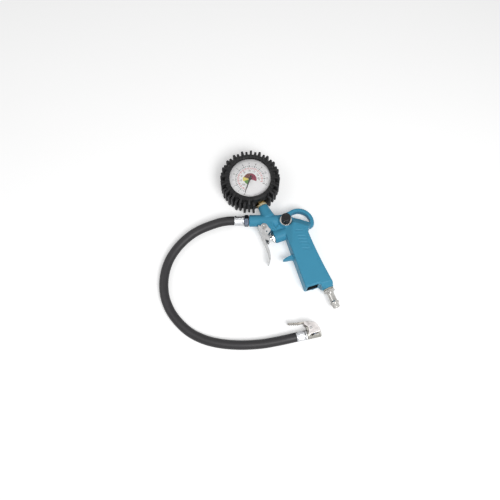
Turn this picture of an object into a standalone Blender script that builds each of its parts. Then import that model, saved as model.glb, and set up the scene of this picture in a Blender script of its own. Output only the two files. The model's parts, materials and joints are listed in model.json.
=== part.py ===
"""Tyre inflator with gauge: die-cast gun, dial gauge in a rubber boot, hose and clip-on chuck.

The tool lies on its right side, as it is put down on a bench. Z = 0 is the bench, +X points away
from the muzzle, +Y towards the gauge, and the gun's middle plane is half a handle above the bench.
"""

import math

import bpy
import bmesh
from mathutils import Euler, Matrix, Vector

MM = 0.001
DEG = math.pi / 180.0

# ---------------------------------------------------------------- fits
GAP = 0.3 * MM                      # between pieces that touch or slide
ROUND_SIDES = 20                    # facets round a turned piece
HEX_SIDES = 24                      # where the piece also has six flats
CASE_SIDES = 40
FACET_TURN = 4.1 * DEG              # keeps facets off the castings' flat faces

# ---------------------------------------------------------------- gun casting, from the muzzle
BARREL_RADIUS = 7.9 * MM
BARREL_END = 46.0 * MM
HEAD_START = 30.5 * MM
HEAD_HALF = 5.2 * MM                # web between the barrel and the valve boss
RIB_HALF = 6.5 * MM
RIB_WIDTH = 1.6 * MM
RIB_MEET = Vector((35.3 * MM, -14.0 * MM))
HANDLE_HALF = 13.0 * MM
LUG_HALF = 7.2 * MM
LUG_RADIUS = 4.4 * MM
EDGE_ROUND = 2.4 * MM

HANDLE_TOP = Vector((49.8 * MM, -26.7 * MM))
HANDLE_LENGTH = 71.8 * MM
HANDLE_LEAN = 18.0 * DEG
HANDLE_TOP_WIDTH = 29.0 * MM
HANDLE_END_WIDTH = 35.6 * MM
HEEL_ACROSS = 19.8 * MM             # the back of the handle runs on past the pocket
HEEL_DROP = 5.6 * MM
HEEL_SLOPE = 5.0 * MM
POCKET_WALL = 3.0 * MM
POCKET_WIDTH = 15.0 * MM
POCKET_DEPTH = 34.0 * MM
SPUR_AT = 22.3 * MM                 # down the front edge
SPUR_REACH = 14.5 * MM
SPUR_HEIGHT = 8.0 * MM
SPUR_HALF = 4.0 * MM
# Shares of the spur's height and reach, round its hooked outline.
SPUR_SHAPE = [(-0.04, -0.14), (0.0, 0.055), (0.06, 0.31), (0.125, 0.56), (0.24, 0.8), (0.39, 0.99), (0.52, 1.0),
              (0.66, 0.76), (0.725, 0.48), (0.76, 0.25), (0.99, 0.04), (1.2, -0.14)]

LOOP_CENTRE = Vector((66.0 * MM, -4.0 * MM))
LOOP_OUTER = 20.5 * MM
LOOP_BAND = 5.2 * MM
LOOP_HALF = 5.0 * MM
SHOULDER_LEFT = Vector((56.5 * MM, 4.2 * MM))
SHOULDER_RIGHT = Vector((81.0 * MM, -3.6 * MM))
SHOULDER_INSET = 9.0 * MM           # the flats slope down to the loop's hole
SHOULDER_DROP = 8.0 * MM
FOREHEAD_INSET = 7.0 * MM           # and towards the knob and the valve boss
FOREHEAD_DROP = 6.0 * MM

GROOVE_COUNT = 7
GROOVE_PITCH = 4.4 * MM
GROOVE_WIDTH = 1.5 * MM
GROOVE_LENGTH = 11.0 * MM
GROOVE_DEPTH = 0.7 * MM
GROOVE_START = Vector((65.6 * MM, -17.6 * MM))

# ---------------------------------------------------------------- gauge post and gauge
POST_FOOT = 28.3 * MM               # on the barrel's axis
POST_LEAN = 26.0 * DEG
POST_TOP = 23.2 * MM
POST_RADIUS = 6.6 * MM
POST_FLARE = 1.7 * MM
STEM_THREAD_RADIUS = 4.8 * MM
STEM_THREAD_LENGTH = 10.0 * MM
STEM_FLATS = 13.0 * MM
STEM_HEX = 4.0 * MM
STEM_NECK_RADIUS = 5.0 * MM
WASHER_THICK = 1.8 * MM

CASE_RADIUS = 31.5 * MM
CASE_WALL = 1.0 * MM
BOOT_WALL = 1.95 * MM
BOOT_FLOOR = 1.5 * MM
BOOT_LIP = 1.8 * MM
BOOT_BACK_REACH = 6.5 * MM          # back wall, in from the case's side
BOOT_LIP_REACH = 3.3 * MM           # lip, in from the case's side
LUG_COUNT = 40
LUG_HEIGHT = 6.3 * MM
LUG_WIDTH = 2.7 * MM
LUG_STAGGER = 3.6 * MM
LUG_PHASE = 62.3 * DEG
LUG_SKIP = 13.0 * DEG               # no lugs either side of the stem
RIDGE_OUTER = 1.2 * MM              # lugs run on as ridges over the front
RIDGE_INNER = 0.4 * MM
BOOT_CUT_CLEAR = 0.8 * MM           # round the stem's hexagon

SOCKET_WIDTH = 12.0 * MM
SOCKET_HALF = 4.0 * MM
SOCKET_INNER = 21.0 * MM            # nearest side to the dial centre
SOCKET_CLEAR = 1.1 * MM             # to the case's inside
TUBE_RADIUS = 22.6 * MM
TUBE_HALF = 1.5 * MM
TUBE_SWEEP = 265.0 * DEG
TIP_SPAN = 8.0 * DEG
TIP_HALF = 2.1 * MM

PLATE_THICK = 1.0 * MM
PLATE_SPACE = 5.0 * MM
PILLAR_RADIUS = 1.2 * MM
GEAR_MODULE = 0.4 * MM
PINION_TEETH = 10
SECTOR_TEETH = 80                   # on the full circle
SECTOR_TEETH_CUT = 10               # teeth that are there
SECTOR_BEARING = -50.0 * DEG        # from the dial centre to the sector's arbor
GEAR_FACE = 1.6 * MM
BACKLASH = 0.12 * MM
ARBOR_RADIUS = 1.0 * MM
TAIL_LENGTH = 6.5 * MM
TAIL_BEARING = -95.0 * DEG
LINK_THICK = 0.8 * MM
LINK_EYE = 1.7 * MM
LINK_PIN_RADIUS = 0.7 * MM
HAIRSPRING_TURNS = 4
HAIRSPRING_REACH = 5.2 * MM
DIAL_THICK = 0.6 * MM
DIAL_MARGIN = 1.5 * MM              # in from the case's side
DIAL_SCREW_AT = Vector((10.5 * MM, -4.0 * MM))
DIAL_SCREW_RADIUS = 0.8 * MM
DIAL_SCREW_HEAD = 1.3 * MM
POINTER_LENGTH = 19.4 * MM
POINTER_TAIL = 5.0 * MM
POINTER_HUB = 2.3 * MM
POINTER_LIFT = 1.3 * MM             # blade above the dial
POINTER_THICK = 0.6 * MM
POINTER_CAP = 0.6 * MM              # hub above the blade
POINTER_ZERO = 225.0 * DEG
LENS_THICK = 1.1 * MM
RING_THICK = 1.0 * MM
RING_WIDTH = 4.0 * MM

# ---------------------------------------------------------------- trigger and air valve
PIVOT = Vector((19.9 * MM, -11.4 * MM))
PIN_RADIUS = 2.0 * MM
PIN_HEAD_RADIUS = 3.0 * MM
EAR_RADIUS = 4.9 * MM
EAR_THICK = 1.5 * MM
BLADE_THICK = 1.8 * MM
BLADE_ROUTE = [(12.9, -9.4), (16.2, -18.2), (19.8, -28.2), (24.2, -39.0), (26.7, -47.5), (27.2, -55.0), (25.6, -60.2)]

VALVE_FACE = Vector((33.1 * MM, -23.5 * MM))
VALVE_TILT = 19.5 * DEG
VALVE_BOSS_RADIUS = 8.5 * MM
VALVE_BOSS_LENGTH = 22.0 * MM
VALVE_BORE_RADIUS = 5.3 * MM
VALVE_BORE_DEPTH = 21.8 * MM
BUSH_FLATS = 12.0 * MM
BUSH_HEAD = 2.4 * MM
BUSH_LENGTH = 9.0 * MM
STEM_RADIUS = 2.0 * MM
STEM_REACH = 6.4 * MM               # tip in front of the boss
STEM_HEAD_RADIUS = 4.2 * MM
STEM_HEAD_THICK = 2.0 * MM
SEAL_THICK = 1.2 * MM
ORING_WIRE = 0.65 * MM
VALVE_SPRING_RADIUS = 3.2 * MM
VALVE_WIRE = 0.4 * MM
VALVE_COILS = 5

# ---------------------------------------------------------------- bleed valve
KNOB_AT = Vector((48.4 * MM, -2.4 * MM))
KNOB_BOSS_RADIUS = 9.4 * MM
KNOB_BOSS_TOP = 10.0 * MM           # heights above the gun's middle plane
KNOB_BOSS_FOOT = -10.6 * MM
KNOB_SEAT = 9.5 * MM
KNOB_SEAT_RADIUS = 8.8 * MM
KNOB_RADIUS = 6.2 * MM
KNOB_HEIGHT = 7.6 * MM
KNOB_TRAVEL = 2.0 * MM
KNOB_RIBS = 18
KNOB_RIB_DEPTH = 0.45 * MM
BLEED_BORE_RADIUS = 4.6 * MM
BLEED_BORE_DEPTH = 18.0 * MM
BLEED_FLANGE_RADIUS = 8.0 * MM
BLEED_FLANGE = 1.5 * MM
BLEED_BUSH_LENGTH = 8.6 * MM
BLEED_STEM_RADIUS = 1.6 * MM
BLEED_HEAD_RADIUS = 3.2 * MM
BLEED_HEAD_THICK = 1.6 * MM
BLEED_SEAL_THICK = 1.0 * MM
BLEED_WIRE = 0.35 * MM
BLEED_COILS = 3

# ---------------------------------------------------------------- air inlet plug
INLET_DROP = 7.2 * MM               # boss face below the handle's end
INLET_ACROSS = 29.0 * MM
INLET_LEAN = 22.0 * DEG
INLET_BOSS_WALL = 1.6 * MM
INLET_BOSS_LENGTH = 19.0 * MM
INLET_THREAD_RADIUS = 5.9 * MM
INLET_THREAD_LENGTH = 9.5 * MM
PLUG_FLATS = 12.8 * MM
PLUG_HEX = 4.0 * MM
PLUG_NECK_RADIUS = 4.6 * MM
PLUG_RIDGE_RADIUS = 6.0 * MM
PLUG_NOSE_RADIUS = 4.7 * MM
PLUG_LENGTH = 27.0 * MM
PLUG_BORE_RADIUS = 3.0 * MM
INLET_SEAL_THICK = 1.2 * MM
INLET_SEAL_RADIUS = 6.8 * MM

# ---------------------------------------------------------------- hose and its end fittings
HOSE_RADIUS = 6.0 * MM
FERRULE_RADIUS = 6.75 * MM
FERRULE_LENGTH = 12.6 * MM
FITTING_FLATS = 14.0 * MM
FITTING_HEX = 6.2 * MM
FITTING_THREAD_RADIUS = 5.0 * MM
FITTING_THREAD_LENGTH = 12.0 * MM
FITTING_TAIL_RADIUS = 3.8 * MM
FITTING_BORE_RADIUS = 2.6 * MM
HOSE_STEP = 22.0 * MM
# Route in millimetres from the muzzle; heights are above the bench.
HOSE_ROUTE = [
    (-31.0, -0.6, 12.8), (-43.0, -3.0, 11.7), (-64.2, -10.6, 9.3), (-80.0, -20.4, 7.6), (-94.5, -35.0, 6.5),
    (-105.2, -53.0, 6.1), (-110.4, -72.0, 6.1), (-110.8, -91.2, 6.1), (-106.3, -109.3, 6.1),
    (-96.2, -127.7, 6.1), (-78.9, -145.4, 6.1), (-59.9, -156.1, 6.1), (-37.9, -162.1, 6.1),
    (-11.9, -164.4, 6.1), (14.2, -163.1, 6.3), (34.0, -160.0, 7.1), (49.0, -157.0, 7.9),
]

# ---------------------------------------------------------------- clip-on tyre chuck
CHUCK_AT = Vector((59.8 * MM, -154.6 * MM))
CHUCK_TILT = 12.5 * DEG
CHUCK_LIFT = 0.3 * MM               # lever's side above the bench
CHUCK_FERRULE_LENGTH = 11.0 * MM
CHUCK_FERRULE_RADIUS = 6.4 * MM
COLLAR_FLATS = 12.6 * MM
COLLAR_LENGTH = 2.4 * MM
CHUCK_RADIUS = 6.3 * MM
CHUCK_LENGTH = 17.2 * MM
CHUCK_MOUTH_RADIUS = 4.3 * MM
CHUCK_MOUTH_DEPTH = 12.0 * MM
TOWER_LENGTH = 10.0 * MM
TOWER_HEIGHT = 9.6 * MM
LEVER_SHEET = 1.2 * MM
LEVER_PIVOT = Vector((20.0 * MM, 6.9 * MM))
LEVER_PIN_RADIUS = 1.3 * MM
TAB_HALF = 5.2 * MM
TAB_THICK = 1.6 * MM
TAB_SERRATIONS = 7
CLAW_HALF = 2.4 * MM
CHUCK_SPRING_RADIUS = 1.9 * MM
CHUCK_SPRING_WIRE = 0.3 * MM
CHUCK_SPRING_COILS = 3
CORE_PIN_RADIUS = 1.2 * MM

# ---------------------------------------------------------------- places worked out from the sizes
def direction(angle):
    """Unit vector in the plane of the bench, counter-clockwise from +X."""
    return Vector((math.cos(angle), math.sin(angle)))


HANDLE_DOWN = direction(HANDLE_LEAN - math.pi / 2.0)
HANDLE_BACK = direction(HANDLE_LEAN)
INLET_FACE = HANDLE_TOP + HANDLE_DOWN * (HANDLE_LENGTH + INLET_DROP) + HANDLE_BACK * INLET_ACROSS
INLET_BOSS_RADIUS = INLET_THREAD_RADIUS + GAP + INLET_BOSS_WALL
INLET_OUT = direction(INLET_LEAN - math.pi / 2.0)
POST_AXIS = direction(POST_LEAN + math.pi / 2.0)
STEM_SHOULDER = CASE_RADIUS + STEM_HEX + WASHER_THICK + 3.0 * GAP
GAUGE_REACH = POST_TOP + STEM_SHOULDER      # barrel axis to dial centre, along the post
GAUGE_CENTRE = Vector((POST_FOOT, 0.0)) + POST_AXIS * GAUGE_REACH
DIAL_RADIUS = CASE_RADIUS - DIAL_MARGIN
DIAL_OPENING = CASE_RADIUS - BOOT_LIP_REACH
RING_OPENING = CASE_RADIUS - RING_WIDTH
SOCKET_OUTER = CASE_RADIUS - CASE_WALL - SOCKET_CLEAR
BOOT_BACK_OPENING = CASE_RADIUS - BOOT_BACK_REACH
BOOT_CUT_RADIUS = STEM_FLATS / 2.0 / math.cos(30.0 * DEG) + BOOT_CUT_CLEAR
CHUCK_HEIGHT = CHUCK_RADIUS + GAP + LEVER_SHEET + CHUCK_LIFT
BOOT_RADIUS = CASE_RADIUS + GAP + BOOT_WALL
LUG_TIP_RADIUS = BOOT_RADIUS + LUG_HEIGHT
PLUG_TIP = INLET_FACE + INLET_OUT * PLUG_LENGTH

TOOL_LEFT = GAUGE_CENTRE.x - LUG_TIP_RADIUS
TOOL_RIGHT = PLUG_TIP.x + PLUG_NOSE_RADIUS * math.cos(INLET_LEAN)
TOOL_BOTTOM = PLUG_TIP.y - PLUG_NOSE_RADIUS * math.sin(INLET_LEAN)
TOOL_TOP = GAUGE_CENTRE.y + LUG_TIP_RADIUS
TOOL_ORIGIN = Vector(((TOOL_LEFT + TOOL_RIGHT) / 2.0, (TOOL_BOTTOM + TOOL_TOP) / 2.0))

# Heights in the gauge, from the stem's axis on the gun's middle plane up to the lip.
CASE_BACK = BOOT_FLOOR + GAP
STEM_HEIGHT = HANDLE_HALF
BACK_PLATE = STEM_HEIGHT + SOCKET_HALF + GAP
PILLAR_BACK = BACK_PLATE + PLATE_THICK + GAP
FRONT_PLATE = PILLAR_BACK + PLATE_SPACE
GEAR_BACK = PILLAR_BACK + 1.0 * MM
LINK_BACK = GEAR_BACK + GEAR_FACE + 2.0 * GAP
DIAL_BACK = FRONT_PLATE + PLATE_THICK + GAP
POINTER_BACK = DIAL_BACK + DIAL_THICK + POINTER_LIFT
LENS_BACK = POINTER_BACK + POINTER_THICK + POINTER_CAP + 2.0 * GAP
CASE_FRONT = LENS_BACK - GAP
RING_BACK = LENS_BACK + LENS_THICK + GAP
BOOT_INNER_TOP = RING_BACK + RING_THICK + GAP
BOOT_DEPTH = BOOT_INNER_TOP + BOOT_LIP
PINION_RADIUS = GEAR_MODULE * PINION_TEETH / 2.0
SECTOR_RADIUS = GEAR_MODULE * SECTOR_TEETH / 2.0
SECTOR_AT = direction(SECTOR_BEARING) * (PINION_RADIUS + SECTOR_RADIUS)
TUBE_START = -math.pi / 2.0 - math.asin((SOCKET_WIDTH / 2.0 + 3.0 * GAP) / TUBE_RADIUS)
TUBE_END = TUBE_START - TUBE_SWEEP
TIP_MIDDLE = TUBE_END - TIP_SPAN / 2.0 - GAP / TUBE_RADIUS
TIP_AT = direction(TIP_MIDDLE) * TUBE_RADIUS
LINK_AT = SECTOR_AT + direction(TAIL_BEARING) * TAIL_LENGTH


# ================================================================ small modelling kit
def finish(name, colour, roughness, metallic):
    """A Principled material of one colour."""
    made = bpy.data.materials.get(name)
    if made is None:
        made = bpy.data.materials.new(name)
        made.use_nodes = True
        shader = made.node_tree.nodes["Principled BSDF"]
        shader.inputs["Base Color"].default_value = (*colour, 1.0)
        shader.inputs["Roughness"].default_value = roughness
        shader.inputs["Metallic"].default_value = metallic
    return made


FINISHES = {
    "teal_enamel": ((0.03, 0.28, 0.42), 0.35, 0.3),
    "chrome": ((0.75, 0.75, 0.74), 0.15, 1.0),
    "zinc": ((0.66, 0.66, 0.65), 0.3, 1.0),
    "brass": ((0.72, 0.52, 0.2), 0.3, 1.0),
    "black_rubber": ((0.02, 0.02, 0.022), 0.7, 0.0),
    "hose_rubber": ((0.035, 0.033, 0.037), 0.6, 0.0),
    "black_plastic": ((0.02, 0.018, 0.02), 0.45, 0.0),
    "fibre": ((0.75, 0.7, 0.5), 0.8, 0.0),
    "dial_white": ((0.9, 0.9, 0.88), 0.5, 0.0),
    "clear": ((0.95, 0.97, 0.98), 0.05, 0.0),
    "spring_steel": ((0.5, 0.5, 0.52), 0.3, 1.0),
    "painted_case": ((0.03, 0.03, 0.03), 0.4, 0.3),
}


def node(name, mesh, look, parent, location=(0.0, 0.0, 0.0), turn=0.0):
    """A named object from a bmesh, in one finish, carried by a parent."""
    bmesh.ops.recalc_face_normals(mesh, faces=mesh.faces)
    data = bpy.data.meshes.new(name)
    mesh.to_mesh(data)
    mesh.free()
    data.shade_smooth()
    data.set_sharp_from_angle(angle=35.0 * DEG)
    made = bpy.data.objects.new(name, data)
    bpy.context.scene.collection.objects.link(made)
    data.materials.append(finish(look, *FINISHES[look]))
    made.parent = parent
    made.location = location
    made.rotation_euler = (0.0, 0.0, turn)
    return made


def holder(name, parent, location, rotation=(0.0, 0.0, 0.0)):
    """An empty that carries pieces."""
    made = bpy.data.objects.new(name, None)
    made.empty_display_size = 0.01
    bpy.context.scene.collection.objects.link(made)
    made.parent = parent
    made.location = location
    made.rotation_euler = rotation
    return made


def boolean(target, helper, operation):
    """Join or cut the target with a helper object, which is only a guide."""
    helper.hide_render = True
    helper.display_type = "WIRE"
    made = target.modifiers.new(helper.name, "BOOLEAN")
    made.operation = operation
    made.object = helper
    made.solver = "EXACT"
    return helper


def guide(name, mesh, target, operation, location=(0.0, 0.0, 0.0), rotation=(0.0, 0.0, 0.0)):
    """A helper shape in the target's own frame."""
    made = node(name, mesh, "zinc", target, location)
    made.rotation_euler = rotation
    return boolean(target, made, operation)


AXES = {
    "Z": Matrix.Identity(4),
    "X": Matrix.Rotation(math.pi / 2.0, 4, "Y"),
    "Y": Matrix.Rotation(-math.pi / 2.0, 4, "X"),
}


def radius_at(radius, sides, angle):
    """Radius of a round piece, or of a hexagon whose half width across flats is radius."""
    if not sides:
        return radius
    sector = 2.0 * math.pi / sides
    return radius / math.cos(angle % sector - sector / 2.0)


def turned(stations, segments=ROUND_SIDES, axis="Z", closed=False, bm=None):
    """Piece turned about an axis from (along, radius) or (along, radius, sides) stations."""
    bm = bm or bmesh.new()
    rings = []
    has_flats = any(len(station) > 2 for station in stations)
    segments = HEX_SIDES if has_flats else segments
    start = 0.0 if has_flats else FACET_TURN
    for station in stations:
        along, radius = station[0], station[1]
        sides = station[2] if len(station) > 2 else 0
        if radius == 0.0:
            rings.append([bm.verts.new(AXES[axis] @ Vector((0.0, 0.0, along)))])
            continue
        ring = []
        for step in range(segments):
            angle = start + 2.0 * math.pi * step / segments
            reach = radius_at(radius, sides, angle)
            point = Vector((reach * math.cos(angle), reach * math.sin(angle), along))
            ring.append(bm.verts.new(AXES[axis] @ point))
        rings.append(ring)
    pairs = list(zip(rings, rings[1:]))
    if closed:
        pairs.append((rings[-1], rings[0]))
    for low, high in pairs:
        for step in range(segments):
            after = (step + 1) % segments
            if len(low) == 1:
                bm.faces.new((low[0], high[after], high[step]))
            elif len(high) == 1:
                bm.faces.new((low[step], low[after], high[0]))
            else:
                bm.faces.new((low[step], low[after], high[after], high[step]))
    return bm


def solid_turned(stations, segments=ROUND_SIDES, axis="Z"):
    """Turned piece with a flat end at each end of its profile."""
    ends = [(stations[0][0], 0.0)] + list(stations) + [(stations[-1][0], 0.0)]
    return turned(ends, segments, axis)


def tube_turned(stations, bore, segments=ROUND_SIDES, axis="Z"):
    """Turned piece with a straight bore right through it."""
    profile = list(stations) + [(stations[-1][0], bore), (stations[0][0], bore)]
    return turned(profile, segments, axis, closed=True)


def prism(outline, low, high, edge_round=0.0, steps=2, bm=None):
    """Flat outline raised from low to high, with its two rims rounded if asked."""
    bm = bm or bmesh.new()
    bottom = [bm.verts.new((x, y, low)) for x, y in outline]
    top = [bm.verts.new((x, y, high)) for x, y in outline]
    caps = [bm.faces.new(bottom[::-1]), bm.faces.new(top)]
    for step in range(len(outline)):
        after = (step + 1) % len(outline)
        bm.faces.new((bottom[step], bottom[after], top[after], top[step]))
    if edge_round:
        bmesh.ops.recalc_face_normals(bm, faces=bm.faces)
        rims = list({edge for cap in caps for edge in cap.edges})
        bmesh.ops.bevel(bm, geom=rims, offset=edge_round, segments=steps, profile=0.5, affect="EDGES")
    return bm


def placed(bm, part, location, rotation=(0.0, 0.0, 0.0)):
    """Add one shape to another at a place and turn, and free it."""
    matrix = Matrix.LocRotScale(Vector(location), Euler(rotation), None)
    bmesh.ops.transform(part, matrix=matrix, verts=part.verts)
    spare = bpy.data.meshes.new("spare")
    part.to_mesh(spare)
    part.free()
    bm.from_mesh(spare)
    bpy.data.meshes.remove(spare)


def arc(centre, radius, start, stop, steps):
    """Points along an arc, both ends included."""
    return [
        (centre[0] + radius * math.cos(start + (stop - start) * k / steps),
         centre[1] + radius * math.sin(start + (stop - start) * k / steps))
        for k in range(steps + 1)
    ]


def smooth_route(points, step):
    """Catmull-Rom curve through the points, sampled about every step."""
    points = [Vector(point) for point in points]
    padded = [points[0] * 2.0 - points[1]] + points + [points[-1] * 2.0 - points[-2]]
    fine = []
    for a, b, c, d in zip(padded, padded[1:], padded[2:], padded[3:]):
        for k in range(16):
            t = k / 16.0
            fine.append(0.5 * ((b * 2.0) + (c - a) * t + (a * 2.0 - b * 5.0 + c * 4.0 - d) * t * t
                               + (b * 3.0 - a - c * 3.0 + d) * t * t * t))
    fine.append(points[-1])
    lengths = [0.0]
    for a, b in zip(fine, fine[1:]):
        lengths.append(lengths[-1] + (b - a).length)
    count = max(2, round(lengths[-1] / step))
    route = []
    index = 0
    for k in range(count + 1):
        wanted = lengths[-1] * k / count
        while index < len(lengths) - 2 and lengths[index + 1] < wanted:
            index += 1
        share = (wanted - lengths[index]) / (lengths[index + 1] - lengths[index])
        route.append(fine[index].lerp(fine[index + 1], min(1.0, share)))
    return route


def round_bar(name, points, radius, look, parent, resolution, location=(0.0, 0.0, 0.0)):
    """Round bar along a poly curve, with filled ends."""
    data = bpy.data.curves.new(name, "CURVE")
    data.dimensions = "3D"
    data.bevel_depth = radius
    data.bevel_resolution = resolution
    data.use_fill_caps = True
    spline = data.splines.new("POLY")
    spline.points.add(len(points) - 1)
    for slot, point in zip(spline.points, points):
        slot.co = (*point, 1.0)
    made = bpy.data.objects.new(name, data)
    bpy.context.scene.collection.objects.link(made)
    data.materials.append(finish(look, *FINISHES[look]))
    made.parent = parent
    made.location = location
    return made


def coil_spring(name, radius, wire, low, high, coils, parent, location=(0.0, 0.0, 0.0)):
    """Compression spring along Z between two heights."""
    per_turn = 8
    rise = (high - low - 2.0 * wire) / (coils * per_turn)
    least = rise * per_turn - 2.0 * wire
    print(f"{name}: least gap between turns {least * 1000.0:.2f} mm")
    points = []
    for k in range(coils * per_turn + 1):
        angle = 2.0 * math.pi * k / per_turn
        points.append((radius * math.cos(angle), radius * math.sin(angle), low + wire + rise * k))
    return round_bar(name, points, wire, "spring_steel", parent, 1, location)


# ================================================================ frames
def clear_scene():
    for old in list(bpy.data.objects):
        bpy.data.objects.remove(old, do_unlink=True)


# ================================================================ gun
def handle_point(along, across):
    return HANDLE_TOP + HANDLE_DOWN * along + HANDLE_BACK * across


def handle_width(along):
    """The back edge flares towards the inlet."""
    share = max(0.0, along / HANDLE_LENGTH)
    return HANDLE_TOP_WIDTH + (HANDLE_END_WIDTH - HANDLE_TOP_WIDTH) * share ** 1.6


def handle_outline():
    heel = HANDLE_LENGTH + HEEL_DROP
    front = [handle_point(along, 0.0) for along in (0.0, HANDLE_LENGTH)]
    front += [handle_point(HANDLE_LENGTH, HEEL_ACROSS), handle_point(heel, HEEL_ACROSS + 0.9 * MM),
              handle_point(heel, handle_width(heel) - 0.4 * MM)]
    back = [handle_point(HANDLE_LENGTH * k / 4.0, handle_width(HANDLE_LENGTH * k / 4.0)) for k in (4, 3, 2, 1, 0)]
    neck = [
        LOOP_CENTRE + Vector((11.8, -10.2)) * MM,
        LOOP_CENTRE + Vector((14.4, -6.6)) * MM,
        LOOP_CENTRE + Vector((16.2, -3.2)) * MM,
    ]
    crown = [SHOULDER_RIGHT, SHOULDER_LEFT, KNOB_AT + Vector((-0.4, -7.0)) * MM, HANDLE_TOP + Vector((-2.2, 9.0)) * MM]
    return front + back + neck + crown


def slope_flats(bm, edge, inward, inset, drop):
    """Plane both flats down towards an edge: nothing at the inset, the whole drop at the edge itself."""
    for side in (-1.0, 1.0):
        at = Vector((*(edge + inward * inset), side * HANDLE_HALF))
        facing = Vector((*(-inward * drop), side * inset)).normalized()
        parts = bm.verts[:] + bm.edges[:] + bm.faces[:]
        cut = bmesh.ops.bisect_plane(bm, geom=parts, plane_co=at, plane_no=facing, clear_outer=True)
        rim = [item for item in cut["geom_cut"] if isinstance(item, bmesh.types.BMEdge)]
        bmesh.ops.contextual_create(bm, geom=rim)


def spread(middle, tips, width):
    """Outline of ribs that meet in the middle, in counter-clockwise order of their tips."""
    points = []
    arms = [(tip - middle).normalized() for tip in tips]
    for k, tip in enumerate(tips):
        arm, after = arms[k], arms[(k + 1) % len(arms)]
        side = Vector((-arm.y, arm.x)) * (width / 2.0)
        bend = (arm.to_2d().angle_signed(after)) % (2.0 * math.pi)
        bend = 2.0 * math.pi - bend
        half = Matrix.Rotation(bend / 2.0, 2) @ arm
        points += [tip - side, tip + side, middle + half * (width / 2.0 / math.sin(bend / 2.0))]
    return points


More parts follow.
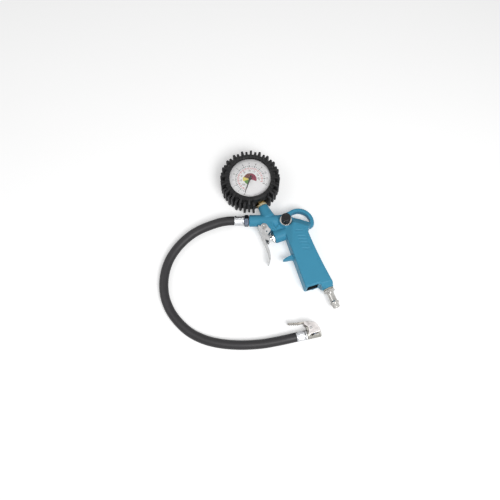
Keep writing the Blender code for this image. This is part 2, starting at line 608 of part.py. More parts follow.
def gun_body(tool):
    grip = prism(handle_outline(), -HANDLE_HALF, HANDLE_HALF, EDGE_ROUND, 3)
    shoulder = (SHOULDER_LEFT - SHOULDER_RIGHT).normalized()
    down = Vector((-shoulder.y, shoulder.x))
    slope_flats(grip, SHOULDER_RIGHT, down, SHOULDER_INSET, SHOULDER_DROP)
    slope_flats(grip, SHOULDER_RIGHT, down, SHOULDER_INSET * 0.3, SHOULDER_DROP * 1.25)
    brow = KNOB_AT + Vector((-0.4, -7.0)) * MM
    fall = (brow - SHOULDER_LEFT).normalized()
    slope_flats(grip, brow, Vector((-fall.y, fall.x)), FOREHEAD_INSET, FOREHEAD_DROP)
    slope_flats(grip, brow, Vector((1.0, -0.02)).normalized(), FOREHEAD_INSET + 2.0 * MM, FOREHEAD_DROP - 1.5 * MM)
    slope_flats(grip, handle_point(HANDLE_LENGTH + HEEL_DROP, 0.0), -HANDLE_DOWN, HEEL_SLOPE, HEEL_SLOPE)
    body = node("gun_body", grip, "teal_enamel", tool)

    barrel = solid_turned([(0.0, BARREL_RADIUS - 0.6 * MM), (0.6 * MM, BARREL_RADIUS), (BARREL_END, BARREL_RADIUS)], axis="X")

    face_up = VALVE_FACE + direction(VALVE_TILT + math.pi / 2.0) * VALVE_BOSS_RADIUS
    head = [
        (HEAD_START + 0.6 * MM, face_up.y + 1.6 * MM), (VALVE_FACE.x - 1.4 * MM, face_up.y - 4.0 * MM),
        (VALVE_FACE.x + 4.0 * MM, VALVE_FACE.y - 3.0 * MM), (HANDLE_TOP.x + 6.0 * MM, HANDLE_TOP.y + 5.0 * MM),
        (LOOP_CENTRE.x - 2.0 * MM, LOOP_CENTRE.y - 2.0 * MM), (SHOULDER_LEFT.x - 0.5 * MM, SHOULDER_LEFT.y + 0.6 * MM),
        tuple(LOOP_CENTRE + direction(127.5 * DEG) * (LOOP_OUTER - LOOP_BAND + 1.1 * MM)),
        tuple(LOOP_CENTRE + direction(124.7 * DEG) * (LOOP_OUTER - 0.12 * MM)),
        (LOOP_CENTRE.x - 16.0 * MM, BARREL_RADIUS + 2.5 * MM), (BARREL_END, BARREL_RADIUS - 0.2 * MM), (HEAD_START + 2.0 * MM, BARREL_RADIUS - 1.6 * MM),
    ]
    guide("cast_head", prism(head, -HEAD_HALF, HEAD_HALF, 1.2 * MM), body, "UNION")
    guide("cast_barrel", barrel, body, "UNION")

    lug = arc(PIVOT, LUG_RADIUS, 175.0 * DEG, 300.0 * DEG, 6)
    lug += [(HEAD_START + 1.2 * MM, face_up.y + 0.4 * MM), (HEAD_START + 2.0 * MM, 0.0),
            (PIVOT.x - LUG_RADIUS - 4.4 * MM, 0.0)]
    guide("cast_trigger_lug", prism(lug, -LUG_HALF, LUG_HALF), body, "UNION")

    foot = 5.0 * MM
    post = solid_turned([
        (foot, POST_RADIUS + POST_FLARE + 0.6 * MM), (foot + 5.0 * MM, POST_RADIUS + POST_FLARE * 0.8),
        (POST_TOP - 0.6 * MM, POST_RADIUS), (POST_TOP, POST_RADIUS - 0.6 * MM),
    ])
    lie = (-math.pi / 2.0, 0.0, POST_LEAN)
    guide("cast_post", post, body, "UNION", (POST_FOOT, 0.0, 0.0), lie)

    along_valve = (0.0, math.pi / 2.0, VALVE_TILT)
    boss = solid_turned([(0.0, VALVE_BOSS_RADIUS - 0.8 * MM), (0.8 * MM, VALVE_BOSS_RADIUS),
                         (VALVE_BOSS_LENGTH, VALVE_BOSS_RADIUS)])
    guide("cast_valve_boss", boss, body, "UNION", (*VALVE_FACE, 0.0), along_valve)
    under = BARREL_RADIUS - 1.4 * MM
    tips = [Vector((RIB_MEET.x - 4.6 * MM, -under)), Vector((RIB_MEET.x - 0.2 * MM, VALVE_FACE.y + 4.5 * MM)),
            Vector((RIB_MEET.x + 6.0 * MM, -under))]
    guide("cast_ribs", prism(spread(RIB_MEET, tips, RIB_WIDTH), -RIB_HALF, RIB_HALF), body, "UNION")

    knob_boss = solid_turned([(KNOB_BOSS_FOOT, KNOB_BOSS_RADIUS), (KNOB_BOSS_TOP - 0.4 * MM, KNOB_BOSS_RADIUS),
                              (KNOB_BOSS_TOP, KNOB_BOSS_RADIUS - 0.4 * MM)])
    guide("cast_knob_boss", knob_boss, body, "UNION", (*KNOB_AT, 0.0))

    ring = arc(LOOP_CENTRE, LOOP_OUTER, 128.0 * DEG, -9.0 * DEG, 16)
    ring += [tuple(LOOP_CENTRE + Vector((15.6, -7.0)) * MM)]
    ring += arc(LOOP_CENTRE, LOOP_OUTER - LOOP_BAND, -3.0 * DEG, 136.0 * DEG, 14)
    guide("cast_loop", prism(ring, -LOOP_HALF, LOOP_HALF, 1.6 * MM), body, "UNION")

    spur = [handle_point(SPUR_AT + down_share * SPUR_HEIGHT, -out_share * SPUR_REACH) for down_share, out_share in SPUR_SHAPE]
    guide("cast_spur", prism(spur, -SPUR_HALF, SPUR_HALF, 0.4 * MM, 1), body, "UNION")

    into_boss = (math.pi / 2.0, 0.0, INLET_LEAN)
    inlet = solid_turned([(0.0, INLET_BOSS_RADIUS - 0.7 * MM), (-0.7 * MM, INLET_BOSS_RADIUS),
                          (-INLET_BOSS_LENGTH, INLET_BOSS_RADIUS)])
    guide("cast_inlet_boss", inlet, body, "UNION", (*INLET_FACE, 0.0), into_boss)

    past = 2.0 * MM
    bores = bmesh.new()
    for radius, start, stop, place, rotation in (
        (FITTING_THREAD_RADIUS + GAP, -past, FITTING_THREAD_LENGTH + GAP, (0.0, 0.0), (0.0, math.pi / 2.0, 0.0)),
        (STEM_THREAD_RADIUS + GAP, POST_TOP - STEM_THREAD_LENGTH - GAP, POST_TOP + past, (POST_FOOT, 0.0), lie),
        (VALVE_BORE_RADIUS, -past, VALVE_BORE_DEPTH, VALVE_FACE, along_valve),
        (INLET_THREAD_RADIUS + GAP, -INLET_THREAD_LENGTH - GAP, past, INLET_FACE, into_boss),
        (PIN_RADIUS + GAP, -HANDLE_HALF, HANDLE_HALF, PIVOT, (0.0, 0.0, 0.0)),
    ):
        placed(bores, solid_turned([(start, radius), (stop, radius)]), (*place, 0.0), rotation)
    seat = solid_turned([(KNOB_SEAT - BLEED_BORE_DEPTH, BLEED_BORE_RADIUS), (KNOB_SEAT, BLEED_BORE_RADIUS),
                         (KNOB_SEAT, KNOB_SEAT_RADIUS), (HANDLE_HALF + past, KNOB_SEAT_RADIUS)])
    placed(bores, seat, (*KNOB_AT, 0.0))

    pocket = [
        handle_point(HANDLE_LENGTH + past, POCKET_WALL), handle_point(HANDLE_LENGTH + past, POCKET_WALL + POCKET_WIDTH),
        handle_point(HANDLE_LENGTH - POCKET_DEPTH, POCKET_WALL + POCKET_WIDTH - 3.0 * MM),
        handle_point(HANDLE_LENGTH - POCKET_DEPTH - 3.0 * MM, POCKET_WALL + POCKET_WIDTH - 6.0 * MM),
        handle_point(HANDLE_LENGTH - POCKET_DEPTH - 3.0 * MM, POCKET_WALL + 3.0 * MM),
        handle_point(HANDLE_LENGTH - POCKET_DEPTH, POCKET_WALL),
    ]
    deep = HANDLE_HALF - POCKET_WALL
    prism(pocket, -deep, deep, bm=bores)
    for side in (-1.0, 1.0):
        for k in range(GROOVE_COUNT):
            middle = GROOVE_START + HANDLE_DOWN * GROOVE_PITCH * k
            corners = [(-0.5, -0.5), (0.5, -0.5), (0.5, 0.5), (-0.5, 0.5)]
            outline = [middle + Vector((u * GROOVE_LENGTH, v * GROOVE_WIDTH)) for u, v in corners]
            low, high = sorted((side * (HANDLE_HALF - GROOVE_DEPTH), side * (HANDLE_HALF + past)))
            prism(outline, low, high, bm=bores)
    guide("bores_pocket_and_grooves", bores, body, "DIFFERENCE")
    return body


# ================================================================ trigger and valve
def trigger_parts(tool):
    pivot = holder("trigger_axis", tool, (*PIVOT, 0.0))
    inner = LUG_HALF + GAP
    outer = inner + EAR_THICK

    def from_pivot(x, y):
        return (x - PIVOT.x, y - PIVOT.y)

    route = smooth_route([(x * MM, y * MM) for x, y in BLADE_ROUTE], 5.0 * MM)
    left, right = [], []
    for k, point in enumerate(route):
        before, after = route[max(0, k - 1)], route[min(len(route) - 1, k + 1)]
        along = (after - before).normalized()
        side = Vector((along.y, -along.x)) * (BLADE_THICK / 2.0)
        left.append(from_pivot(*(point + side)))
        right.append(from_pivot(*(point - side)))
    wide = outer - 0.15 * MM
    lever = node("trigger_lever", prism(left + right[::-1], -wide, wide, 0.3 * MM, 1), "zinc", pivot)

    push_face = VALVE_FACE - direction(VALVE_TILT) * (STEM_REACH + GAP)
    push_side = direction(VALVE_TILT + math.pi / 2.0)
    push_back = push_face - direction(VALVE_TILT) * BLADE_THICK
    push_web = push_face - direction(VALVE_TILT) * BLADE_THICK / 2.0
    web = [push_face + push_side * 3.0 * MM, push_face - push_side * 3.0 * MM,
           push_back - push_side * 3.0 * MM, push_back + push_side * 3.0 * MM]
    guide("trigger_web", prism([from_pivot(*point) for point in web], -inner - 0.5 * MM, inner + 0.5 * MM), lever, "UNION")

    ear = arc((0.0, 0.0), EAR_RADIUS, 172.0 * DEG, 20.0 * DEG, 9)
    ear += [from_pivot(PIVOT.x + 6.6 * MM, PIVOT.y - 1.4 * MM), from_pivot(PIVOT.x + 8.6 * MM, PIVOT.y - 3.4 * MM),
            from_pivot(PIVOT.x + 8.2 * MM, PIVOT.y - 6.2 * MM),
            from_pivot(*(push_web + push_side * 4.0 * MM)), from_pivot(*(push_web - push_side * 3.6 * MM)),
            from_pivot(*(push_back - push_side * 4.6 * MM)),
            from_pivot(BLADE_ROUTE[2][0] * MM, BLADE_ROUTE[2][1] * MM), from_pivot(BLADE_ROUTE[1][0] * MM, BLADE_ROUTE[1][1] * MM),
            from_pivot(BLADE_ROUTE[0][0] * MM, BLADE_ROUTE[0][1] * MM)]
    for side, low in (("left", inner), ("right", -outer)):
        guide(f"trigger_ear_{side}", prism(ear, low, low + EAR_THICK, 0.3 * MM, 1), lever, "UNION")
    hole = solid_turned([(-outer - 1.0 * MM, PIN_RADIUS + GAP), (outer + 1.0 * MM, PIN_RADIUS + GAP)], 16)
    guide("trigger_hole", hole, lever, "DIFFERENCE")
    eyelet_at = from_pivot(PIVOT.x + 3.3 * MM, PIVOT.y - 6.3 * MM)
    eyelet = solid_turned([(-outer - 1.0 * MM, 1.1 * MM), (outer + 1.0 * MM, 1.1 * MM)], 12)
    guide("trigger_eyelet", eyelet, lever, "DIFFERENCE", (*eyelet_at, 0.0))

    head_out = outer + GAP
    pin = solid_turned([
        (-head_out - 1.0 * MM, PIN_HEAD_RADIUS - 0.4 * MM), (-head_out - 0.6 * MM, PIN_HEAD_RADIUS),
        (-head_out, PIN_HEAD_RADIUS), (-head_out, PIN_RADIUS), (head_out, PIN_RADIUS),
        (head_out, PIN_HEAD_RADIUS), (head_out + 0.6 * MM, PIN_HEAD_RADIUS), (head_out + 1.0 * MM, PIN_HEAD_RADIUS - 0.4 * MM),
    ], 16)
    node("trigger_pin", pin, "zinc", pivot)


def valve_parts(tool):
    """Heights run into the casting from the boss's face."""
    axis = holder("valve_axis", tool, (*VALVE_FACE, 0.0), (0.0, math.pi / 2.0, VALVE_TILT))
    flats = BUSH_FLATS / 2.0
    bush_outer = VALVE_BORE_RADIUS - GAP
    bore = STEM_RADIUS + GAP
    groove = bore + 2.0 * ORING_WIRE + GAP
    groove_at = 3.0 * MM
    groove_end = groove_at + 2.0 * ORING_WIRE + 2.0 * GAP
    bush = turned([
        (-GAP - BUSH_HEAD, flats - 0.6 * MM), (-GAP - BUSH_HEAD + 0.5 * MM, flats, 6), (-GAP, flats, 6), (-GAP, bush_outer),
        (BUSH_LENGTH, bush_outer), (BUSH_LENGTH, bore), (groove_end, bore), (groove_end, groove),
        (groove_at, groove), (groove_at, bore), (-GAP - BUSH_HEAD, bore),
    ], closed=True)
    node("valve_bush", bush, "chrome", axis)

    oring_middle = (groove_at + groove_end) / 2.0
    oring_radius = bore + ORING_WIRE
    oring = turned([(oring_middle + ORING_WIRE * math.sin(k * math.pi / 3.0),
                     oring_radius + ORING_WIRE * math.cos(k * math.pi / 3.0)) for k in range(6)], closed=True)
    node("valve_o_ring", oring, "black_rubber", axis)

    head = BUSH_LENGTH + GAP + SEAL_THICK + GAP
    tail = head + STEM_HEAD_THICK
    stem = solid_turned([
        (-STEM_REACH, STEM_RADIUS - 0.5 * MM), (0.5 * MM - STEM_REACH, STEM_RADIUS), (head, STEM_RADIUS),
        (head, STEM_HEAD_RADIUS), (tail, STEM_HEAD_RADIUS), (tail, STEM_RADIUS - 0.4 * MM),
        (tail + 2.0 * MM, STEM_RADIUS - 0.6 * MM),
    ])
    node("valve_stem", stem, "chrome", axis)
    seal = tube_turned([(BUSH_LENGTH + GAP, STEM_HEAD_RADIUS), (head - GAP, STEM_HEAD_RADIUS)], bore)
    node("valve_seal", seal, "black_rubber", axis)
    coil_spring("valve_spring", VALVE_SPRING_RADIUS, VALVE_WIRE, tail + GAP, VALVE_BORE_DEPTH - GAP, VALVE_COILS, axis)


def bleed_parts(tool):
    """Heights run up from the gun's middle plane."""
    axis = holder("bleed_axis", tool, (*KNOB_AT, 0.0))
    flange = KNOB_SEAT + GAP
    flange_top = flange + BLEED_FLANGE
    bush_end = KNOB_SEAT - BLEED_BUSH_LENGTH
    bush = tube_turned([
        (bush_end, BLEED_BORE_RADIUS - GAP), (flange, BLEED_BORE_RADIUS - GAP), (flange, BLEED_FLANGE_RADIUS),
        (flange_top - 0.4 * MM, BLEED_FLANGE_RADIUS), (flange_top, BLEED_FLANGE_RADIUS - 0.4 * MM),
    ], BLEED_STEM_RADIUS + GAP)
    node("bleed_bush", bush, "chrome", axis)

    knob_low = flange_top + GAP + KNOB_TRAVEL
    knob_top = knob_low + KNOB_HEIGHT
    socket = BLEED_STEM_RADIUS + GAP
    socket_top = knob_low + KNOB_HEIGHT / 2.0
    knob = bmesh.new()
    steps = KNOB_RIBS * 2
    rings = []
    for along, radius, ribbed in ((knob_low, socket, False), (knob_low, KNOB_RADIUS - 0.5 * MM, True),
                                  (knob_low + 0.5 * MM, KNOB_RADIUS, True), (knob_top - 0.8 * MM, KNOB_RADIUS, True),
                                  (knob_top, KNOB_RADIUS - 0.9 * MM, False)):
        ring = []
        for k in range(steps):
            reach = radius - (KNOB_RIB_DEPTH if ribbed and k % 2 else 0.0)
            angle = 2.0 * math.pi * k / steps
            ring.append(knob.verts.new((reach * math.cos(angle), reach * math.sin(angle), along)))
        rings.append(ring)
    blind = [knob.verts.new((socket * math.cos(2.0 * math.pi * k / steps), socket * math.sin(2.0 * math.pi * k / steps),
                             socket_top)) for k in range(steps)]
    for low, high in zip([blind] + rings, rings):
        for k in range(steps):
            after = (k + 1) % steps
            knob.faces.new((low[k], low[after], high[after], high[k]))
    knob.faces.new(rings[-1])
    knob.faces.new(blind[::-1])
    node("bleed_button", knob, "black_plastic", axis)

    seal_top = bush_end - GAP
    head_top = seal_top - BLEED_SEAL_THICK - GAP
    stem = solid_turned([
        (head_top - BLEED_HEAD_THICK - 1.5 * MM, BLEED_STEM_RADIUS), (head_top - BLEED_HEAD_THICK, BLEED_STEM_RADIUS),
        (head_top - BLEED_HEAD_THICK, BLEED_HEAD_RADIUS), (head_top, BLEED_HEAD_RADIUS), (head_top, BLEED_STEM_RADIUS),
        (socket_top - GAP, BLEED_STEM_RADIUS),
    ], 16)
    node("bleed_stem", stem, "brass", axis)
    seal = tube_turned([(head_top + GAP, BLEED_HEAD_RADIUS), (seal_top, BLEED_HEAD_RADIUS)], BLEED_STEM_RADIUS + GAP, 16)
    node("bleed_seal", seal, "black_rubber", axis)
    spring_low = KNOB_SEAT - BLEED_BORE_DEPTH + GAP
    coil_spring("bleed_spring", BLEED_HEAD_RADIUS - BLEED_WIRE, BLEED_WIRE, spring_low,
                head_top - BLEED_HEAD_THICK - GAP, BLEED_COILS, axis)


def inlet_parts(tool):
    """Heights run out of the handle from the inlet boss's face."""
    axis = holder("inlet_axis", tool, (*INLET_FACE, 0.0), (math.pi / 2.0, 0.0, INLET_LEAN))
    flats = PLUG_FLATS / 2.0
    seal_top = GAP + INLET_SEAL_THICK
    hex_low = seal_top + GAP
    hex_top = hex_low + PLUG_HEX
    nose = PLUG_LENGTH
    plug = tube_turned([
        (-INLET_THREAD_LENGTH, INLET_THREAD_RADIUS - 0.6 * MM), (-INLET_THREAD_LENGTH + 0.6 * MM, INLET_THREAD_RADIUS),
        (hex_low, INLET_THREAD_RADIUS), (hex_low, flats, 6), (hex_top - 0.8 * MM, flats, 6), (hex_top, flats - 0.5 * MM),
        (hex_top, PLUG_NECK_RADIUS + 0.8 * MM), (hex_top + 2.0 * MM, PLUG_NECK_RADIUS), (nose - 9.4 * MM, PLUG_NECK_RADIUS),
        (nose - 7.8 * MM, PLUG_RIDGE_RADIUS), (nose - 5.8 * MM, PLUG_RIDGE_RADIUS), (nose - 4.8 * MM, PLUG_NOSE_RADIUS),
        (nose - 0.9 * MM, PLUG_NOSE_RADIUS), (nose, PLUG_NOSE_RADIUS - 0.9 * MM),
    ], PLUG_BORE_RADIUS)
    node("inlet_plug", plug, "chrome", axis)
    seal = tube_turned([(GAP, INLET_SEAL_RADIUS), (seal_top, INLET_SEAL_RADIUS)], INLET_THREAD_RADIUS + GAP)
    node("inlet_seal", seal, "fibre", axis)


# ================================================================ hose and chuck
def crimped_sleeve(length, radius, bore):
    """Sleeve pressed down to eight long flats between its round ends."""
    end = 1.6 * MM
    flat = radius * 0.94
    return tube_turned([
        (0.0, radius - 0.5 * MM), (0.5 * MM, radius), (end, radius), (end + 0.7 * MM, flat, 8),
        (length - end - 0.7 * MM, flat, 8), (length - end, radius), (length - 0.5 * MM, radius), (length, radius - 0.5 * MM),
    ], bore, axis="X")


def hose_parts(tool):
    hex_start = -GAP - FITTING_HEX
    sleeve_start = hex_start - GAP - FERRULE_LENGTH
    flats = FITTING_FLATS / 2.0
    fitting = tube_turned([
        (sleeve_start + 0.8 * MM, FITTING_TAIL_RADIUS), (hex_start, FITTING_TAIL_RADIUS), (hex_start, flats - 0.5 * MM),
        (hex_start + 0.6 * MM, flats, 6), (-GAP - 0.6 * MM, flats, 6), (-GAP, flats - 0.5 * MM), (-GAP, FITTING_THREAD_RADIUS),
        (FITTING_THREAD_LENGTH - 0.6 * MM, FITTING_THREAD_RADIUS), (FITTING_THREAD_LENGTH, FITTING_THREAD_RADIUS - 0.6 * MM),
    ], FITTING_BORE_RADIUS, axis="X")
    node("outlet_fitting", fitting, "zinc", tool)
    sleeve = crimped_sleeve(FERRULE_LENGTH, FERRULE_RADIUS, FITTING_TAIL_RADIUS + GAP)
    node("hose_ferrule", sleeve, "chrome", tool, (sleeve_start, 0.0, 0.0))

    start = Vector((sleeve_start - GAP, 0.0, 0.0))
    chuck_middle = CHUCK_HEIGHT - HANDLE_HALF
    end = Vector((*CHUCK_AT, chuck_middle)) - Vector((*direction(CHUCK_TILT), 0.0)) * GAP
    route = [start] + [Vector((x * MM, y * MM, z * MM - HANDLE_HALF)) for x, y, z in HOSE_ROUTE] + [end]
    middle = smooth_route(route, HOSE_STEP)
    straight = 3.0 * MM
    middle.insert(1, start - Vector((straight, 0.0, 0.0)))
    middle.insert(-1, end - Vector((*direction(CHUCK_TILT), 0.0)) * straight)
    length = sum((b - a).length for a, b in zip(middle, middle[1:]))
    print(f"hose: {length * 1000.0:.1f} mm free between its sleeves")
    round_bar("hose", middle, HOSE_RADIUS, "hose_rubber", tool, 3)


def chuck_parts(tool):
    """Frame: X along the chuck from the hose, Y towards the lever, Z up from the bench."""
    base = holder("chuck_axis", tool, (*CHUCK_AT, CHUCK_HEIGHT - HANDLE_HALF), (0.0, 0.0, CHUCK_TILT))
    collar_start = CHUCK_FERRULE_LENGTH + GAP
    collar_end = collar_start + COLLAR_LENGTH
    body_start = collar_end + GAP
    body_end = body_start + CHUCK_LENGTH
    tail = 4.0 * MM
    sleeve = crimped_sleeve(CHUCK_FERRULE_LENGTH, CHUCK_FERRULE_RADIUS, 3.6 * MM + GAP)
    node("chuck_ferrule", sleeve, "chrome", base)
    fitting = tube_turned([
        (0.8 * MM, 3.6 * MM), (collar_start, 3.6 * MM), (collar_start, COLLAR_FLATS / 2.0 - 0.3 * MM),
        (collar_start + 0.5 * MM, COLLAR_FLATS / 2.0, 6), (collar_end, COLLAR_FLATS / 2.0, 6),
        (collar_end, tail - GAP), (collar_end + 4.0 * MM, tail - GAP),
    ], 2.2 * MM, axis="X")
    node("chuck_fitting", fitting, "zinc", base)

    mouth_floor = body_end - CHUCK_MOUTH_DEPTH
    tail_floor = collar_end + 4.3 * MM
    shell = turned([
        (tail_floor, 0.0), (tail_floor, tail), (body_start, tail), (body_start, CHUCK_RADIUS - 0.5 * MM),
        (body_start + 0.5 * MM, CHUCK_RADIUS), (body_end - 0.5 * MM, CHUCK_RADIUS),
        (body_end, CHUCK_RADIUS - 0.5 * MM), (body_end, CHUCK_MOUTH_RADIUS), (mouth_floor, CHUCK_MOUTH_RADIUS),
        (mouth_floor, 0.0),
    ], axis="X")
    body = node("chuck_body", shell, "chrome", base)
    tower_start = LEVER_PIVOT.x - TOWER_LENGTH * 0.55
    low = CHUCK_MOUTH_RADIUS + 0.9 * MM
    tower = [(tower_start, low), (tower_start + TOWER_LENGTH, low),
             (tower_start + TOWER_LENGTH, TOWER_HEIGHT - 2.0 * MM), (tower_start + TOWER_LENGTH - 2.0 * MM, TOWER_HEIGHT),
             (tower_start, TOWER_HEIGHT)]
    tower_half = CHUCK_RADIUS - 0.25 * MM
    guide("chuck_tower", prism(tower, -tower_half, tower_half), body, "UNION")
    past = 1.0 * MM
    pin_hole = solid_turned([(-tower_half - past, LEVER_PIN_RADIUS + GAP), (tower_half + past, LEVER_PIN_RADIUS + GAP)], 12)
    guide("chuck_pin_hole", pin_hole, body, "DIFFERENCE", (*LEVER_PIVOT, 0.0))
    seat_depth = 0.9 * MM
    spring_x = tower_start + CHUCK_SPRING_RADIUS + CHUCK_SPRING_WIRE + 0.5 * MM
    seat = solid_turned([(TOWER_HEIGHT - seat_depth, CHUCK_SPRING_RADIUS + CHUCK_SPRING_WIRE + GAP),
                         (TOWER_HEIGHT + past, CHUCK_SPRING_RADIUS + CHUCK_SPRING_WIRE + GAP)], 16, axis="Y")
    guide("chuck_spring_seat", seat, body, "DIFFERENCE", (spring_x, 0.0, 0.0))
    slot_half = CLAW_HALF + 2.0 * GAP
    slot = [(body_end - 4.2 * MM, 1.0 * MM), (body_end + past, 1.0 * MM), (body_end + past, CHUCK_RADIUS + past),
            (body_end - 4.2 * MM, CHUCK_RADIUS + past)]
    guide("chuck_claw_slot", prism(slot, -slot_half, slot_half), body, "DIFFERENCE")

    seal = tube_turned([(mouth_floor + GAP, CHUCK_MOUTH_RADIUS - GAP), (mouth_floor + GAP + 2.6 * MM, CHUCK_MOUTH_RADIUS - GAP)],
                       CORE_PIN_RADIUS + GAP, axis="X")
    node("chuck_seal", seal, "black_rubber", base)
    pin_tip = mouth_floor + GAP + 6.0 * MM
    core = solid_turned([(mouth_floor + GAP, CORE_PIN_RADIUS), (pin_tip - 0.5 * MM, CORE_PIN_RADIUS),
                         (pin_tip, CORE_PIN_RADIUS - 0.5 * MM)], 12, axis="X")
    node("chuck_core_pin", core, "brass", base)

    # The lever is a folded channel over the tower: its side view less a smaller one, plus tab and claw.
    inner = CHUCK_RADIUS + GAP
    outer = inner + LEVER_SHEET
    hinge = holder("chuck_lever_axis", base, (*LEVER_PIVOT, 0.0))

    def side(points):
        return [(x * MM - LEVER_PIVOT.x, y * MM - LEVER_PIVOT.y) for x, y in points]

    shell_side = side([(12.4, 16.9), (26.6, 13.3), (30.8, 5.2), (31.0, 1.4), (18.6, 0.9), (16.4, 3.4), (16.8, 8.4), (13.0, 12.2)])
    hollow = side([(11.0, 15.9), (26.0, 12.1), (28.6, 7.0), (33.0, 7.0), (33.0, -1.0), (10.0, -1.0)])
    lever = node("chuck_lever", prism(shell_side, -outer, outer, 0.5 * MM, 1), "chrome", hinge)
    guide("lever_hollow", prism(hollow, -inner, inner), lever, "DIFFERENCE")
    tab = side([(14.0, 15.2), (14.0, 16.6), (6.6, 16.4), (-6.6, 18.8), (-6.9, 18.8 - TAB_THICK / MM), (6.4, 16.5 - TAB_THICK / MM)])
    guide("lever_tab", prism(tab, -TAB_HALF, TAB_HALF, 0.4 * MM, 1), lever, "UNION")
    claw = side([(28.0, 8.8), (29.0, 8.4), (30.5, 5.4), (30.3, 3.2), (28.9, 3.2), (28.9, 5.6)])
    guide("lever_claw", prism(claw, -CLAW_HALF, CLAW_HALF), lever, "UNION")
    teeth = bmesh.new()
    for k in range(TAB_SERRATIONS):
        foot = Vector((-5.2 + 1.6 * k, 18.75 - 0.29 * k)) * MM - LEVER_PIVOT
        notch = [foot + Vector((-0.4, 0.6)) * MM, foot + Vector((0.0, -0.5)) * MM, foot + Vector((0.4, 0.6)) * MM]
        prism(notch, -TAB_HALF - past, TAB_HALF + past, bm=teeth)
    guide("lever_serrations", teeth, lever, "DIFFERENCE")
    hole = solid_turned([(-outer - past, LEVER_PIN_RADIUS + GAP), (outer + past, LEVER_PIN_RADIUS + GAP)], 12)
    guide("lever_hole", hole, lever, "DIFFERENCE")

    pin = solid_turned([(-outer + 0.1 * MM, LEVER_PIN_RADIUS), (outer - 0.1 * MM, LEVER_PIN_RADIUS)], 12)
    node("chuck_lever_pin", pin, "zinc", hinge)
    spring_holder = holder("chuck_spring_axis", base, (spring_x, 0.0, 0.0), (-math.pi / 2.0, 0.0, 0.0))
    coil_spring("chuck_spring", CHUCK_SPRING_RADIUS, CHUCK_SPRING_WIRE, TOWER_HEIGHT - seat_depth + GAP, 13.6 * MM - GAP,
                CHUCK_SPRING_COILS, spring_holder)


# ================================================================ gauge
def boot(gauge):
    """Rubber boot: a turned shell whose side cells are raised into staggered lugs."""
    bm = bmesh.new()
    cavity = CASE_RADIUS + GAP
    low, high = 0.0, BOOT_DEPTH
    front_odd = high - 1.4 * MM
    profile = [
        (BOOT_BACK_OPENING, low), (BOOT_RADIUS - 1.0 * MM, low), (BOOT_RADIUS, low + 1.0 * MM), (BOOT_RADIUS, low + LUG_STAGGER + 1.0 * MM),
        (BOOT_RADIUS, front_odd - LUG_STAGGER), (BOOT_RADIUS, front_odd), (BOOT_RADIUS - 1.6 * MM, high),
        (DIAL_OPENING + 0.5 * MM, high), (DIAL_OPENING, high - 0.5 * MM), (DIAL_OPENING, BOOT_INNER_TOP),
        (cavity, BOOT_INNER_TOP), (cavity, low + BOOT_FLOOR), (BOOT_BACK_OPENING, low + BOOT_FLOOR),
    ]
    first_lug = 2                                   # profile cell where the even lugs start
    pitch = 2.0 * math.pi / LUG_COUNT
    half = LUG_WIDTH / (2.0 * BOOT_RADIUS)
    angles = []
    for k in range(LUG_COUNT):
        middle = LUG_PHASE + k * pitch
        angles += [middle - half, middle + half]
    grid = [[bm.verts.new((r * math.cos(a), r * math.sin(a), z)) for r, z in profile] for a in angles]
    cells = {}
    for i in range(len(angles)):
        for j in range(len(profile)):
            near, far = grid[i], grid[(i + 1) % len(angles)]
            after = (j + 1) % len(profile)
            cells[i, j] = bm.faces.new((near[j], near[after], far[after], far[j]))
    bmesh.ops.recalc_face_normals(bm, faces=bm.faces)
    ridge = profile.index((BOOT_RADIUS, front_odd))
    for k in range(LUG_COUNT):
        from_stem = (LUG_PHASE + k * pitch + math.pi / 2.0 + math.pi) % (2.0 * math.pi) - math.pi
        if abs(from_stem) < LUG_SKIP:
            continue
        start = first_lug + (1 if k % 2 == 0 else 0)
        raised = [cells[2 * k, j] for j in (start, start + 1, ridge, ridge + 1)]
        grown = bmesh.ops.extrude_face_region(bm, geom=raised)
        for item in grown["geom"]:
            if isinstance(item, bmesh.types.BMVert):
                reach = math.hypot(item.co.x, item.co.y)
                if item.co.z > high - 0.1 * MM:
                    item.co.z += RIDGE_OUTER if reach > DIAL_OPENING + 1.0 * MM else RIDGE_INNER
                elif item.co.z > front_odd - 0.1 * MM and k % 2:
                    item.co.z += RIDGE_OUTER / 2.0
                else:
                    item.co += Vector((item.co.x, item.co.y, 0.0)) * (LUG_HEIGHT / reach)
        bmesh.ops.delete(bm, geom=[face for face in raised if face.is_valid], context="FACES")
    shell = node("gauge_boot", bm, "black_rubber", gauge)
    cut = solid_turned([(-BOOT_RADIUS - 2.0 * LUG_HEIGHT, BOOT_CUT_RADIUS), (4.0 * MM - CASE_RADIUS, BOOT_CUT_RADIUS)], axis="Y")
    guide("boot_stem_cut", cut, shell, "DIFFERENCE", (0.0, 0.0, STEM_HEIGHT))


